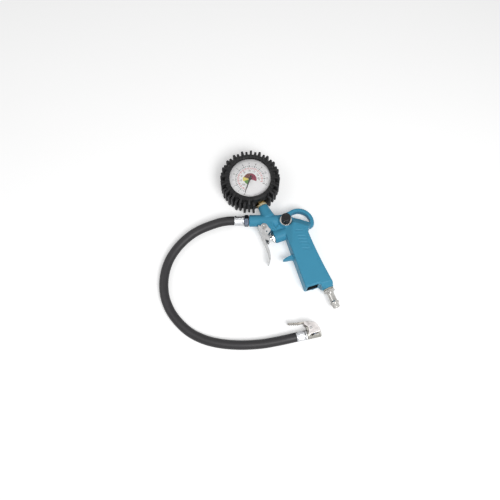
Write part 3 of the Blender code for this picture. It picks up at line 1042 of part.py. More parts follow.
def case_and_window(gauge):
    inner = CASE_RADIUS - CASE_WALL
    cup = turned([
        (CASE_BACK, 0.0), (CASE_BACK, CASE_RADIUS - 1.5 * MM), (CASE_BACK + 1.5 * MM, CASE_RADIUS), (CASE_FRONT, CASE_RADIUS),
        (CASE_FRONT, inner), (CASE_BACK + CASE_WALL + 1.0 * MM, inner), (CASE_BACK + CASE_WALL, inner - 1.0 * MM),
        (CASE_BACK + CASE_WALL, 0.0),
    ], CASE_SIDES)
    case = node("gauge_case", cup, "painted_case", gauge)
    hole = solid_turned([(-CASE_RADIUS - 2.0 * MM, STEM_NECK_RADIUS + GAP), (4.0 * MM - CASE_RADIUS, STEM_NECK_RADIUS + GAP)], axis="Y")
    guide("case_stem_hole", hole, case, "DIFFERENCE", (0.0, 0.0, STEM_HEIGHT))
    lens = solid_turned([(LENS_BACK, CASE_RADIUS), (LENS_BACK + LENS_THICK, CASE_RADIUS)], CASE_SIDES)
    node("gauge_lens", lens, "clear", gauge)
    ring = turned([(RING_BACK, CASE_RADIUS), (RING_BACK + RING_THICK, CASE_RADIUS), (RING_BACK + RING_THICK, RING_OPENING + 0.5 * MM),
                   (RING_BACK, RING_OPENING)], CASE_SIDES, closed=True)
    node("lens_ring", ring, "painted_case", gauge)


def socket_and_tube(gauge):
    flats = STEM_FLATS / 2.0
    post_top = STEM_SHOULDER
    washer_out = post_top - GAP
    washer_in = washer_out - WASHER_THICK
    hex_out = washer_in - GAP
    hex_in = CASE_RADIUS + GAP
    block = prism([(-SOCKET_WIDTH / 2.0, -SOCKET_OUTER), (SOCKET_WIDTH / 2.0, -SOCKET_OUTER),
                   (SOCKET_WIDTH / 2.0, -SOCKET_INNER), (-SOCKET_WIDTH / 2.0, -SOCKET_INNER)], -SOCKET_HALF, SOCKET_HALF)
    socket = node("gauge_socket", block, "brass", gauge, (0.0, 0.0, STEM_HEIGHT))
    stem = solid_turned([
        (-post_top - STEM_THREAD_LENGTH + 0.6 * MM, STEM_THREAD_RADIUS - 0.6 * MM), (-post_top - STEM_THREAD_LENGTH + 1.2 * MM, STEM_THREAD_RADIUS),
        (-hex_out, STEM_THREAD_RADIUS), (-hex_out, flats - 0.4 * MM), (-hex_out + 0.5 * MM, flats, 6), (-hex_in - 0.5 * MM, flats, 6),
        (-hex_in, flats - 0.4 * MM), (-hex_in, STEM_NECK_RADIUS), (-SOCKET_OUTER + 1.0 * MM, STEM_NECK_RADIUS - 1.2 * MM),
    ], axis="Y")
    guide("socket_stem", stem, socket, "UNION")
    bore = solid_turned([(-post_top - STEM_THREAD_LENGTH - 1.0 * MM, 1.5 * MM), (-SOCKET_INNER - 3.0 * MM, 1.5 * MM)], 12, axis="Y")
    guide("socket_bore", bore, socket, "DIFFERENCE")
    washer = tube_turned([(-washer_out, POST_RADIUS), (-washer_in, POST_RADIUS)], STEM_THREAD_RADIUS + GAP, axis="Y")
    node("gauge_seal_washer", washer, "fibre", gauge, (0.0, 0.0, STEM_HEIGHT))

    bm = bmesh.new()
    section = 8
    steps = 22
    rings = []
    for k in range(steps + 1):
        at = TUBE_START - TUBE_SWEEP * k / steps
        ring = []
        for side in range(section):
            turn = 2.0 * math.pi * side / section
            reach = TUBE_RADIUS + TUBE_HALF * math.cos(turn)
            ring.append(bm.verts.new((reach * math.cos(at), reach * math.sin(at), SOCKET_HALF * math.sin(turn))))
        rings.append(ring)
    for low, high in zip(rings, rings[1:]):
        for side in range(section):
            after = (side + 1) % section
            bm.faces.new((low[side], low[after], high[after], high[side]))
    bm.faces.new(rings[0][::-1])
    bm.faces.new(rings[-1])
    node("bourdon_tube", bm, "brass", gauge, (0.0, 0.0, STEM_HEIGHT))

    spread = TIP_SPAN / 2.0
    near, far = TUBE_RADIUS - TIP_HALF, TUBE_RADIUS + TIP_HALF
    corners = [direction(TIP_MIDDLE + spread) * near, direction(TIP_MIDDLE + spread) * far,
               direction(TIP_MIDDLE - spread) * far, direction(TIP_MIDDLE - spread) * near]
    tip = node("tube_tip", prism([corner - TIP_AT for corner in corners], STEM_HEIGHT - SOCKET_HALF, STEM_HEIGHT + SOCKET_HALF),
               "brass", gauge, (*TIP_AT, 0.0))
    lug = solid_turned([(STEM_HEIGHT, 1.2 * MM), (LINK_BACK - GAP, 1.2 * MM)], 12)
    guide("tip_lug", lug, tip, "UNION")


def gear_flank(radius, pitch_radius, teeth, pressure):
    """Half of a tooth's angle at a radius, for an involute tooth thinned by the backlash."""
    base = pitch_radius * math.cos(pressure)

    def involute(at):
        grade = math.sqrt(max(0.0, (at / base) ** 2 - 1.0))
        return grade - math.atan(grade)

    half = math.pi / (2.0 * teeth) - BACKLASH / (2.0 * pitch_radius)
    return half + involute(pitch_radius) - involute(max(radius, base))


def gear_teeth(pitch_radius, teeth, centres):
    """Outline points of the teeth at the given centre angles, in order."""
    pressure = 25.0 * DEG
    root = pitch_radius - 1.05 * GEAR_MODULE
    tip = pitch_radius + 0.75 * GEAR_MODULE
    points = []
    for centre in centres:
        for radius, side in ((root, -1.0), (pitch_radius - 0.3 * GEAR_MODULE, -1.0), (pitch_radius + 0.2 * GEAR_MODULE, -1.0),
                             (tip, -1.0), (tip, 1.0), (pitch_radius + 0.2 * GEAR_MODULE, 1.0),
                             (pitch_radius - 0.3 * GEAR_MODULE, 1.0), (root, 1.0)):
            angle = centre + side * gear_flank(radius, pitch_radius, teeth, pressure)
            points.append((radius * math.cos(angle), radius * math.sin(angle)))
    return points


def movement(gauge):
    """Plates, pillars, sector, pinion, link and hairspring between the tube and the dial."""
    to_pinion = SECTOR_BEARING + math.pi
    pillars = [Vector((-7.0, -7.0)) * MM, Vector((17.2, -4.2)) * MM]
    back_outline = [(-10.0, -9.5), (-9.0, 3.0), (3.0, 5.0), (18.8, -1.8), (19.2, -5.4), (14.6, -16.8), (5.8, -28.0), (-5.8, -28.0), (-7.5, -17.0)]
    front_outline = [(-12.6, -9.8), (-12.6, 1.5), (2.0, 5.0), (18.8, -1.8), (19.2, -6.0), (15.2, -16.8), (8.0, -17.4)]

    def plate(name, outline, low, screws):
        made = node(name, prism([(x * MM, y * MM) for x, y in outline], low, low + PLATE_THICK), "brass", gauge)
        holes = [((0.0, 0.0), ARBOR_RADIUS + GAP), (tuple(SECTOR_AT), ARBOR_RADIUS + GAP)]
        if screws:
            holes += [((side * DIAL_SCREW_AT.x, DIAL_SCREW_AT.y), DIAL_SCREW_RADIUS + GAP) for side in (-1.0, 1.0)]
        drills = bmesh.new()
        for (x, y), radius in holes:
            drill = solid_turned([(low - 1.0 * MM, radius), (low + PLATE_THICK + 1.0 * MM, radius)], 12)
            placed(drills, drill, (x, y, 0.0))
        guide(f"{name}_holes", drills, made, "DIFFERENCE")

    plate("movement_back_plate", back_outline, BACK_PLATE, False)
    plate("movement_front_plate", front_outline, FRONT_PLATE, True)
    for k, at in enumerate(pillars):
        pillar = solid_turned([(PILLAR_BACK, PILLAR_RADIUS), (FRONT_PLATE - GAP, PILLAR_RADIUS)], 12)
        node(f"movement_pillar_{k + 1}", pillar, "brass", gauge, (*at, 0.0))

    arbor_low = BACK_PLATE + 0.2 * MM
    step = 2.0 * math.pi / SECTOR_TEETH
    centres = [-step * (k - 0.5) for k in range(SECTOR_TEETH_CUT)][::-1]
    rim = gear_teeth(SECTOR_RADIUS, SECTOR_TEETH, centres)
    first, last = centres[0] - step * 0.6, centres[-1] + step * 0.6
    inner = SECTOR_RADIUS - 1.05 * GEAR_MODULE
    fan = [tuple(direction(first) * inner)] + rim + [tuple(direction(last) * inner)]
    fan += [tuple(direction(last + 4.0 * DEG) * 2.2 * MM), tuple(direction(last + 70.0 * DEG) * 2.2 * MM)]
    fan += [tuple(direction(180.0 * DEG) * 2.2 * MM), tuple(direction(first - 70.0 * DEG) * 2.2 * MM)]
    fan += [tuple(direction(first - 4.0 * DEG) * 2.2 * MM)]
    sector = node("sector_gear", prism(fan, GEAR_BACK, GEAR_BACK + GEAR_FACE), "brass", gauge, (*SECTOR_AT, 0.0), to_pinion)
    window = [tuple(direction(first + 6.0 * DEG) * 6.0 * MM), tuple(direction(last - 6.0 * DEG) * 6.0 * MM)]
    window += arc((0.0, 0.0), inner - 1.6 * MM, last - 4.0 * DEG, first + 4.0 * DEG, 4)
    guide("sector_window", prism(window, GEAR_BACK - 1.0 * MM, GEAR_BACK + GEAR_FACE + 1.0 * MM), sector, "DIFFERENCE")
    arbor = solid_turned([(arbor_low, ARBOR_RADIUS), (FRONT_PLATE + PLATE_THICK - 0.2 * MM, ARBOR_RADIUS)], 12)
    guide("sector_arbor", arbor, sector, "UNION")
    tail = direction(TAIL_BEARING - to_pinion)
    across = Vector((-tail.y, tail.x))
    arm = [across * 1.3 * MM, -across * 1.3 * MM, tail * TAIL_LENGTH - across * 1.7 * MM,
           tail * (TAIL_LENGTH + 1.6 * MM) - across * 1.1 * MM, tail * (TAIL_LENGTH + 1.6 * MM) + across * 1.1 * MM,
           tail * TAIL_LENGTH + across * 1.7 * MM]
    thin = 0.1 * MM
    guide("sector_tail", prism(arm, GEAR_BACK + thin, GEAR_BACK + GEAR_FACE - thin), sector, "UNION")
    eye = solid_turned([(GEAR_BACK - 1.0 * MM, LINK_PIN_RADIUS + GAP), (GEAR_BACK + GEAR_FACE + 1.0 * MM, LINK_PIN_RADIUS + GAP)], 12)
    guide("sector_eye", eye, sector, "DIFFERENCE", (*(tail * TAIL_LENGTH), 0.0))

    toward = SECTOR_BEARING
    pinion_centres = [toward + 2.0 * math.pi * k / PINION_TEETH for k in range(PINION_TEETH)]
    pinion = node("pinion", prism(gear_teeth(PINION_RADIUS, PINION_TEETH, pinion_centres), GEAR_BACK - GAP, GEAR_BACK + GEAR_FACE + GAP),
                  "brass", gauge)
    collet = GEAR_BACK + GEAR_FACE + 0.1 * MM
    arbor = solid_turned([(arbor_low, ARBOR_RADIUS), (collet, ARBOR_RADIUS), (collet, 1.5 * MM), (collet + 1.6 * MM, 1.5 * MM),
                          (collet + 1.6 * MM, ARBOR_RADIUS), (POINTER_BACK + 0.3 * MM, ARBOR_RADIUS)], 12)
    guide("pinion_arbor", arbor, pinion, "UNION")

    reach = TIP_AT - LINK_AT
    along = reach.normalized()
    across = Vector((-along.y, along.x))
    bar = [across * 0.9 * MM, *[tuple(Vector(point)) for point in arc((0.0, 0.0), LINK_EYE, math.atan2(along.y, along.x) + 0.6,
                                                                    math.atan2(along.y, along.x) + 2.0 * math.pi - 0.6, 8)],
           -across * 0.9 * MM + along * 3.0 * MM, reach - across * 0.9 * MM - along * 3.0 * MM]
    far = arc(reach, LINK_EYE, math.atan2(along.y, along.x) - math.pi + 0.6, math.atan2(along.y, along.x) + math.pi - 0.6, 8)
    bar = arc((0.0, 0.0), LINK_EYE, math.atan2(along.y, along.x) + 0.6, math.atan2(along.y, along.x) + 2.0 * math.pi - 0.6, 8)
    bar = bar + far
    link = node("tip_link", prism(bar, LINK_BACK, LINK_BACK + LINK_THICK), "brass", gauge, (*LINK_AT, 0.0))
    pin = solid_turned([(GEAR_BACK, LINK_PIN_RADIUS), (LINK_BACK + LINK_THICK / 2.0, LINK_PIN_RADIUS)], 12)
    guide("link_pin", pin, link, "UNION")
    eye = solid_turned([(LINK_BACK - 1.0 * MM, LINK_PIN_RADIUS + GAP), (LINK_BACK + LINK_THICK + 1.0 * MM, LINK_PIN_RADIUS + GAP)], 12)
    guide("link_eye", eye, link, "DIFFERENCE", (*reach, 0.0))

    inner_turn = 1.5 * MM + GAP + 0.1 * MM
    growth = (HAIRSPRING_REACH - inner_turn) / HAIRSPRING_TURNS
    print(f"hairspring: least gap between turns {(growth - 0.2 * MM) * 1000.0:.2f} mm")
    bm = bmesh.new()
    per_turn = 12
    rings = []
    for k in range(HAIRSPRING_TURNS * per_turn + 1):
        turn = k / per_turn
        at = direction(2.0 * math.pi * turn)
        middle = inner_turn + growth * turn
        low, high = collet + 0.4 * MM, collet + 1.2 * MM
        ring = [(at * (middle - 0.1 * MM), low), (at * (middle + 0.1 * MM), low), (at * (middle + 0.1 * MM), high),
                (at * (middle - 0.1 * MM), high)]
        rings.append([bm.verts.new((*place, height)) for place, height in ring])
    for low, high in zip(rings, rings[1:]):
        for side in range(4):
            after = (side + 1) % 4
            bm.faces.new((low[side], low[after], high[after], high[side]))
    bm.faces.new(rings[0][::-1])
    bm.faces.new(rings[-1])
    node("hairspring", bm, "spring_steel", gauge)


def dial_and_pointer(gauge):
    dial = node("dial", tube_turned([(DIAL_BACK, DIAL_RADIUS), (DIAL_BACK + DIAL_THICK, DIAL_RADIUS)], ARBOR_RADIUS + 2.0 * GAP, CASE_SIDES),
                "dial_white", gauge)
    for k, side in enumerate((-1.0, 1.0)):
        place = (side * DIAL_SCREW_AT.x, DIAL_SCREW_AT.y, 0.0)
        hole = solid_turned([(DIAL_BACK - 1.0 * MM, DIAL_SCREW_RADIUS + GAP), (DIAL_BACK + 2.0 * MM, DIAL_SCREW_RADIUS + GAP)], 12)
        guide(f"dial_hole_{k + 1}", hole, dial, "DIFFERENCE", place)
        head = DIAL_BACK + DIAL_THICK + GAP
        screw = solid_turned([(FRONT_PLATE, DIAL_SCREW_RADIUS), (head, DIAL_SCREW_RADIUS), (head, DIAL_SCREW_HEAD),
                              (head + 0.4 * MM, DIAL_SCREW_HEAD), (head + 0.7 * MM, DIAL_SCREW_HEAD - 0.6 * MM)], 12)
        node(f"dial_screw_{k + 1}", screw, "brass", gauge, place)

    thick = POINTER_THICK
    blade = [(POINTER_LENGTH, -0.25 * MM), (POINTER_LENGTH, 0.25 * MM), (0.0, 1.0 * MM), (-POINTER_TAIL, 1.5 * MM),
             (-POINTER_TAIL, -1.5 * MM), (0.0, -1.0 * MM)]
    pointer = node("pointer", prism(blade, POINTER_BACK, POINTER_BACK + thick), "black_plastic", gauge, turn=POINTER_ZERO)
    hub = solid_turned([(POINTER_BACK - 0.4 * MM, POINTER_HUB - 0.6 * MM), (POINTER_BACK + thick + 0.1 * MM, POINTER_HUB - 0.3 * MM),
                        (POINTER_BACK + thick + POINTER_CAP, POINTER_HUB - 0.9 * MM)], 20)
    guide("pointer_hub", hub, pointer, "UNION")
    seat = solid_turned([(POINTER_BACK - 1.0 * MM, ARBOR_RADIUS + GAP), (POINTER_BACK + 0.6 * MM, ARBOR_RADIUS + GAP)], 12)
    guide("pointer_seat", seat, pointer, "DIFFERENCE")


def main():
    clear_scene()
    tool = holder("tool", None, (-TOOL_ORIGIN.x, -TOOL_ORIGIN.y, HANDLE_HALF))
    gun_body(tool)
    trigger_parts(tool)
    valve_parts(tool)
    bleed_parts(tool)
    inlet_parts(tool)
    hose_parts(tool)
    chuck_parts(tool)
    gauge = holder("gauge", tool, (*GAUGE_CENTRE, -HANDLE_HALF), (0.0, 0.0, POST_LEAN))
    boot(gauge)
    case_and_window(gauge)
    socket_and_tube(gauge)
    movement(gauge)
    dial_and_pointer(gauge)


main()
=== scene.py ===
"""Tyre inflator with gauge, dressed for a studio picture.

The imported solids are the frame: places come from their joints, and every piece made here sits
where its solid sits. Lengths in the piece tables are in millimetres: from the muzzle for the gun,
from the dial's centre for the gauge and from the hose's end for the chuck.
"""

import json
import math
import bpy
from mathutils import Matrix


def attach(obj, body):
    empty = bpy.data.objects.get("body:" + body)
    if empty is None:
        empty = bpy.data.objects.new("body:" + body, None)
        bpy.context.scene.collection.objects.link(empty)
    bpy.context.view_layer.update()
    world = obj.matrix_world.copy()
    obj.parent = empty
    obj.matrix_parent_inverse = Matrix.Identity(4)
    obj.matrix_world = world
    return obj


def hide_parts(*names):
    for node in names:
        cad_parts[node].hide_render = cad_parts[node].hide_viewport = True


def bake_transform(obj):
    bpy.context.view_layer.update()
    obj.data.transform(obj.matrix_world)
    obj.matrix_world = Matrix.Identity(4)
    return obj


bl_info = {
    "name": "Tyre inflator with gauge",
    "version": (1, 0, 0),
    "blender": (4, 5, 0),
    "location": "3D View > Sidebar > Inflator",
    "description": "Builds the pieces and finishes of a pistol-grip tyre inflator",
    "category": "Add Mesh",
}

import bmesh
import bpy
import numpy as np

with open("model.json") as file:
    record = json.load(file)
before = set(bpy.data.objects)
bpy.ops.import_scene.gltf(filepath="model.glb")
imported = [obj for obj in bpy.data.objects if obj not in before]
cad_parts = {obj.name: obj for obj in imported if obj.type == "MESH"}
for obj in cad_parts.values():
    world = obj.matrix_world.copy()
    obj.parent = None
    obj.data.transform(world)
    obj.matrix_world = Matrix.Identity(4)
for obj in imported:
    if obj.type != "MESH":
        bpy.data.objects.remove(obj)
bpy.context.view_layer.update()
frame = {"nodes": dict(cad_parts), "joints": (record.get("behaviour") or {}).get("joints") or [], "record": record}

MM = 0.001
TAU = 2.0 * math.pi
UP = np.array((0.0, 0.0, 1.0))
JOINTS = {joint["name"]: joint for joint in frame["joints"]}


# ---------------------------------------------------------------- places
def flat(azimuth):
    """Unit vector in the plane of the bench at an azimuth in degrees."""
    turn = math.radians(azimuth)
    return np.array((math.cos(turn), math.sin(turn), 0.0))


class Place:
    """A corner in space and three directions; carries points given in millimetres to the scene."""

    def __init__(self, corner, across, beside):
        self.corner = np.asarray(corner, float)
        across, beside = np.asarray(across, float), np.asarray(beside, float)
        self.axes = np.array((across, beside, np.cross(across, beside)))

    def __call__(self, points):
        return self.corner + (np.asarray(points, float) * MM) @ self.axes

    def moved(self, point):
        """The same directions from another corner."""
        return Place(self(point), *self.axes[:2])


PIVOT = np.array((19.9, -11.4, 0.0))                # the trigger's pin, from the muzzle
LEVER_PIVOT = np.array((20.0, 6.9, 0.0))            # the lever's pin, from the chuck's hose end
GAUGE_TURN = 26.0
VALVE_TILT = 19.5
INLET_LEAN = 22.0
CHUCK_TILT = 12.5
HANDLE_LEAN = 18.0
HANDLE_HALF = 13.0

GUN = Place(np.array(JOINTS["trigger_hinge"]["pos_m"]) - PIVOT * MM, (1, 0, 0), (0, 1, 0))
BENCH_GAUGE = np.array(JOINTS["pointer_turn"]["pos_m"]) * (1.0, 1.0, 0.0)
GAUGE = Place(BENCH_GAUGE, flat(GAUGE_TURN), flat(GAUGE_TURN + 90.0))
CHUCK_AXES = (flat(CHUCK_TILT), flat(CHUCK_TILT + 90.0))
CHUCK_PIVOT = np.array(JOINTS["chuck_clip_hinge"]["pos_m"])
CHUCK = Place(CHUCK_PIVOT - LEVER_PIVOT[0] * MM * CHUCK_AXES[0] - LEVER_PIVOT[1] * MM * CHUCK_AXES[1],
              *CHUCK_AXES)


def pointing(place, point, azimuth):
    """Local Z along an azimuth in the bench's plane, local X straight down."""
    return Place(place(point), (0.0, 0.0, -1.0), flat(azimuth + 90.0))


BARREL = pointing(GUN, (0, 0, 0), 0.0)
VALVE = pointing(GUN, (33.1, -23.5, 0), VALVE_TILT)
POST = Place(GUN((28.3, 0, 0)), flat(GAUGE_TURN), (0, 0, -1))
KNOB = GUN.moved((48.4, -2.4, 0))
CHUCK_LINE = pointing(CHUCK, (0, 0, 0), CHUCK_TILT)
DOWN = np.array((math.sin(math.radians(HANDLE_LEAN)), -math.cos(math.radians(HANDLE_LEAN))))
BACK = np.array((math.cos(math.radians(HANDLE_LEAN)), math.sin(math.radians(HANDLE_LEAN))))
HANDLE_TOP = np.array((49.8, -26.7))
HANDLE_LENGTH = 71.8


def handle(along, across):
    """A point of the grip in the gun's plane, down its front edge and back from it."""
    return tuple(HANDLE_TOP + DOWN * along + BACK * across)


INLET = Place(GUN((*handle(79.0, 29.0), 0)), flat(INLET_LEAN), (0, 0, 1))
STEM_Z = 13.0
GAUGE_STEM = Place(GAUGE((0, 0, STEM_Z)), flat(GAUGE_TURN), (0, 0, 1))      # local Z away from the dial
CHUCK_CROSS = CHUCK.moved(LEVER_PIVOT)                                      # local Z along the lever's pin


# ---------------------------------------------------------------- shapes
class Shape:
    """Closed surface as points, four-sided faces and a few many-sided ends, facing out."""

    def __init__(self, points, quads, ends=()):
        self.points = np.asarray(points, float).reshape(-1, 3)
        self.quads = np.asarray(quads, int).reshape(-1, 4)
        self.ends = [np.asarray(end, int) for end in ends]
        fans = [np.stack((np.full(len(end) - 2, end[0]), end[1:-1], end[2:]), 1) for end in self.ends]
        triangles = np.concatenate([self.quads[:, (0, 1, 2)], self.quads[:, (0, 2, 3)], *fans])
        corner = self.points[triangles] - self.points.mean(0)
        volume = np.einsum("ij,ij->", corner[:, 0], np.cross(corner[:, 1], corner[:, 2]))
        if volume < 0.0:
            self.quads = self.quads[:, ::-1]
            self.ends = [end[::-1] for end in self.ends]


def lattice(grid, rows_close=False):
    """Rings of points joined to their neighbours; a run of rings that is open gets a flat end at each side."""
    rows, columns = grid.shape[:2]
    index = np.arange(rows * columns).reshape(rows, columns)
    low = index if rows_close else index[:-1]
    high = np.roll(index, -1, 0) if rows_close else index[1:]
    quads = np.stack((low, np.roll(low, -1, 1), np.roll(high, -1, 1), high), -1)
    ends = [] if rows_close else [index[0][::-1], index[-1]]
    return Shape(grid.reshape(-1, 3), quads.reshape(-1, 4), ends)


SHORTEST = 1e-6                                     # keeps a length from being divided by nothing
MOST_CUT = 0.4                                      # share of a side that a softened corner may take
MOST_BEND = 0.48                                    # share of a side that a rounded corner may take


def softened(stations, cut):
    """Each corner of a profile becomes three points on a small curve. A station without a third
    number gets 0 there; the third column is kept."""
    stations = np.array([tuple(s) + (0.0,) * (3 - len(s)) for s in stations], float)
    if not cut:
        return stations
    middle = stations[1:-1]
    ways = stations[:-2] - middle, stations[2:] - middle
    lengths = (np.maximum(np.hypot(*way[:, :2].T), SHORTEST)[:, None] for way in ways)
    first, last = (middle + way * np.minimum(cut / length, MOST_CUT) for way, length in zip(ways, lengths))
    bend = 0.25 * first + 0.5 * middle + 0.25 * last
    first[:, 2] = last[:, 2] = bend[:, 2] = middle[:, 2]
    curve = np.stack((first, bend, last), 1).reshape(-1, 3)
    return np.concatenate((stations[:1], curve, stations[-1:]))


def hexagon(low, high, flats, chamfer=0.9):
    """Stations of a chamfered hexagon: a cone at each end that its six flats cut."""
    corner, face = flats / math.cos(math.pi / 6.0), flats * 0.96
    cone = [(chamfer * s, face + (corner - face) * s, flats) for s in np.linspace(0.0, 1.0, 5)]
    return [(low + rise, *rest) for rise, *rest in cone] + [(high - rise, *rest) for rise, *rest in cone[::-1]]


def threaded(first, pitch, count, crest, root):
    """Stations of thread rings, each with a flat crest and a flat root."""
    return [(first + pitch * k + 0.3 * step, radius) for k in range(count)
            for step, radius in enumerate((crest, crest, root, root))]


def ringed(reach, angle, along):
    """Points at a reach from local Z, for each azimuth and each height along it."""
    return np.stack(np.broadcast_arrays(reach * np.cos(angle), reach * np.sin(angle), along), -1)


def turned(place, stations, sides=96, cut=0.12, closed=False):
    """Surface of revolution: the profile's radius carried round local Z. A station's third number is half
    the width across the flats of a hexagon, and there the radius is cut off where a flat comes nearer."""
    stations = softened(stations, cut)
    angle = np.arange(sides) * TAU / sides
    along, radius, flats = (stations[:, k][:, None] for k in range(3))
    nearest = np.cos((angle % (TAU / 6)) - TAU / 12.0)[None, :]
    reach = np.where(flats > 0.0, np.minimum(radius, flats / nearest), radius + 0.0 * nearest)
    return lattice(place(ringed(reach, angle, along)), rows_close=closed)


def hole(place, low, high, radius, sides=64):
    """Plain cylinder, to be cut out of a solid."""
    return turned(place, [(low, radius), (high, radius)], sides, 0.0)


def bored(place, stations, bore, sides=96, cut=0.12):
    """Turned piece with a straight bore through it."""
    inner = [(stations[-1][0], bore), (stations[0][0], bore)]
    around = [tuple(s) for s in stations] + inner
    soft = softened([around[-1]] + around + [around[0]], cut)[1:-1]
    return turned(place, soft, sides, 0.0, closed=True)


def rounded(corners, reach, steps=6):
    """Closed outline whose corners are bends: each is a parabola between points either side of it."""
    corners = np.asarray(corners, float)
    reach = np.broadcast_to(np.asarray(reach, float), len(corners))[:, None]
    first, last = (corners + way * np.minimum(reach / np.linalg.norm(way, axis=1)[:, None], MOST_BEND)
                   for way in (np.roll(corners, 1, 0) - corners, np.roll(corners, -1, 0) - corners))
    t = np.linspace(0.0, 1.0, steps)[None, :, None]
    bend = (1 - t) ** 2 * first[:, None] + 2 * t * (1 - t) * corners[:, None] + t ** 2 * last[:, None]
    return bend.reshape(-1, 2)


def read_again(points, at_of):
    """Points along a line, read at the distances that a rule gives for its whole length."""
    run = np.concatenate(((0.0,), np.cumsum(np.linalg.norm(np.diff(points, axis=0), axis=1))))
    at = at_of(run[-1])
    return np.stack([np.interp(at, run, column) for column in points.T], 1)


def fine(outline, step):
    """Closed outline read again at even steps along its length."""
    return read_again(np.concatenate((outline, outline[:1])),
                      lambda whole: np.linspace(0.0, whole, max(8, int(whole / step)), endpoint=False))


def inward(outline):
    """Unit normals of a closed outline that point to its inside."""
    along = np.roll(outline, -1, 0) - np.roll(outline, 1, 0)
    normal = np.stack((-along[:, 1], along[:, 0]), 1)
    normal /= np.maximum(np.linalg.norm(normal, axis=1)[:, None], 1e-9)
    x, y = outline[:, 0], outline[:, 1]
    area = np.sum(x * np.roll(y, -1) - y * np.roll(x, -1))
    return normal if area > 0.0 else -normal


def slab(place, outline, low, high, edge=0.0, steps=5):
    """Outline raised from low to high; near each rim it draws in along a quarter circle."""
    outline = np.asarray(outline, float)
    if edge:
        turn = np.linspace(0.0, math.pi / 2.0, steps)
        inset = edge * (1.0 - np.sin(turn))
        lift = edge * (1.0 - np.cos(turn))
        inset = np.concatenate((inset, inset[::-1]))
        height = np.concatenate((low + lift, high - lift[::-1]))
    else:
        inset, height = np.zeros(2), np.array((low, high), float)
    ring = outline[None] + inward(outline)[None] * inset[:, None, None]
    grid = np.concatenate((ring, np.broadcast_to(height[:, None, None], ring.shape[:2] + (1,))), -1)
    return lattice(place(grid))


def bar(path, radius, sides):
    """Tube carried along a path: a circle square to the path at each of its points."""
    along = np.gradient(path, axis=0)
    along /= np.linalg.norm(along, axis=1)[:, None]
    side = np.cross(along, np.broadcast_to(UP, along.shape))
    side /= np.linalg.norm(side, axis=1)[:, None]
    over = np.cross(side, along)
    angle = (np.arange(sides) * TAU / sides)[None, :, None]
    return lattice(path[:, None] + radius * (side[:, None] * np.cos(angle) + over[:, None] * np.sin(angle)))


def curve_through(points, count):
    """Smooth curve through points (Catmull-Rom), read at even steps along its length."""
    points = np.asarray(points, float)
    padded = np.concatenate((2 * points[:1] - points[1:2], points, 2 * points[-1:] - points[-2:-1]))
    a, b, c, d = (padded[k:len(padded) - 3 + k][:, None] for k in range(4))
    t = np.linspace(0.0, 1.0, 24, endpoint=False)[None, :, None]
    run = 0.5 * (2 * b + (c - a) * t + (2 * a - 5 * b + 4 * c - d) * t ** 2 + (3 * b - a - 3 * c + d) * t ** 3)
    run = np.concatenate((run.reshape(-1, points.shape[1]), points[-1:]))
    return read_again(run, lambda whole: np.linspace(0.0, whole, count))


def arc(centre, radius, first, last, steps):
    """Points of an arc between two azimuths in degrees."""
    angle = np.radians(np.linspace(first, last, steps))
    return np.stack((centre[0] + radius * np.cos(angle), centre[1] + radius * np.sin(angle)), 1)


def mesh_of(name, shapes):
    """One mesh from shapes, filled by whole arrays."""
    points, totals, corners, base = [], [], [], 0
    for shape in shapes:
        points.append(shape.points)
        corners += [(shape.quads + base).reshape(-1), *(end + base for end in shape.ends)]
        totals += [np.full(len(shape.quads), 4), np.array([len(end) for end in shape.ends], int)]
        base += len(shape.points)
    points, totals, corners = (np.concatenate(parts) for parts in (points, totals, corners))
    mesh = bpy.data.meshes.new(name)
    for owner, key, values, kind in (
            (mesh.vertices, "co", points, np.float32), (mesh.loops, "vertex_index", corners, np.int32),
            (mesh.polygons, "loop_start", np.cumsum(totals) - totals, np.int32)):
        owner.add(len(values))
        owner.foreach_set(key, values.astype(kind).reshape(-1))
    mesh.polygons.foreach_set("loop_total", totals.astype(np.int32))
    mesh.update(calc_edges=True)
    mesh.validate()
    return mesh


def placed(name, data):
    """A new object of the scene, from its data or from a list of shapes."""
    made = bpy.data.objects.new(name, mesh_of(name, data) if isinstance(data, list) else data)
    bpy.context.scene.collection.objects.link(made)
    return made


def piece(name, shapes, finish, body, stands_for=(), sharp=34.0):
    """A named piece that rides on a body, or stays where it is made when it is given a tuple of ends,
    takes a finish and stands for solids of the frame."""
    made = placed(name, shapes)
    made.data.shade_smooth()
    made.data.set_sharp_from_angle(angle=math.radians(sharp))
    made.data.materials.clear()
    made.data.materials.append(finish)
    if isinstance(body, tuple):
        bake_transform(made)
    else:
        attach(made, body)
    if stands_for:
        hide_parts(*stands_for)
    return made


def worked(made, kind, **settings):
    """A modifier on an object, with its settings."""
    added = made.modifiers.new(kind.lower(), kind)
    for key, value in settings.items():
        setattr(added, key, value)


def settled(made, helpers=()):
    """The object's mesh with its modifiers worked in; the object and its helpers go."""
    bpy.context.view_layer.update()
    graph = bpy.context.evaluated_depsgraph_get()
    mesh = bpy.data.meshes.new_from_object(made.evaluated_get(graph))
    for spare in (made, *helpers):
        bpy.data.objects.remove(spare)
    return mesh


def carve(made, cuts):
    """One Boolean modifier for each shape that is taken away; hands back the shapes' objects."""
    helpers = [placed(f"{made.name}_cut_{number}", [cut]) for number, cut in enumerate(cuts)]
    for helper in helpers:
        worked(made, "BOOLEAN", operation="DIFFERENCE", object=helper, solver="EXACT")
    return helpers


def carved(name, solids, cuts):
    """Solids with others cut out of them."""
    made = placed(name, solids)
    return settled(made, carve(made, cuts))


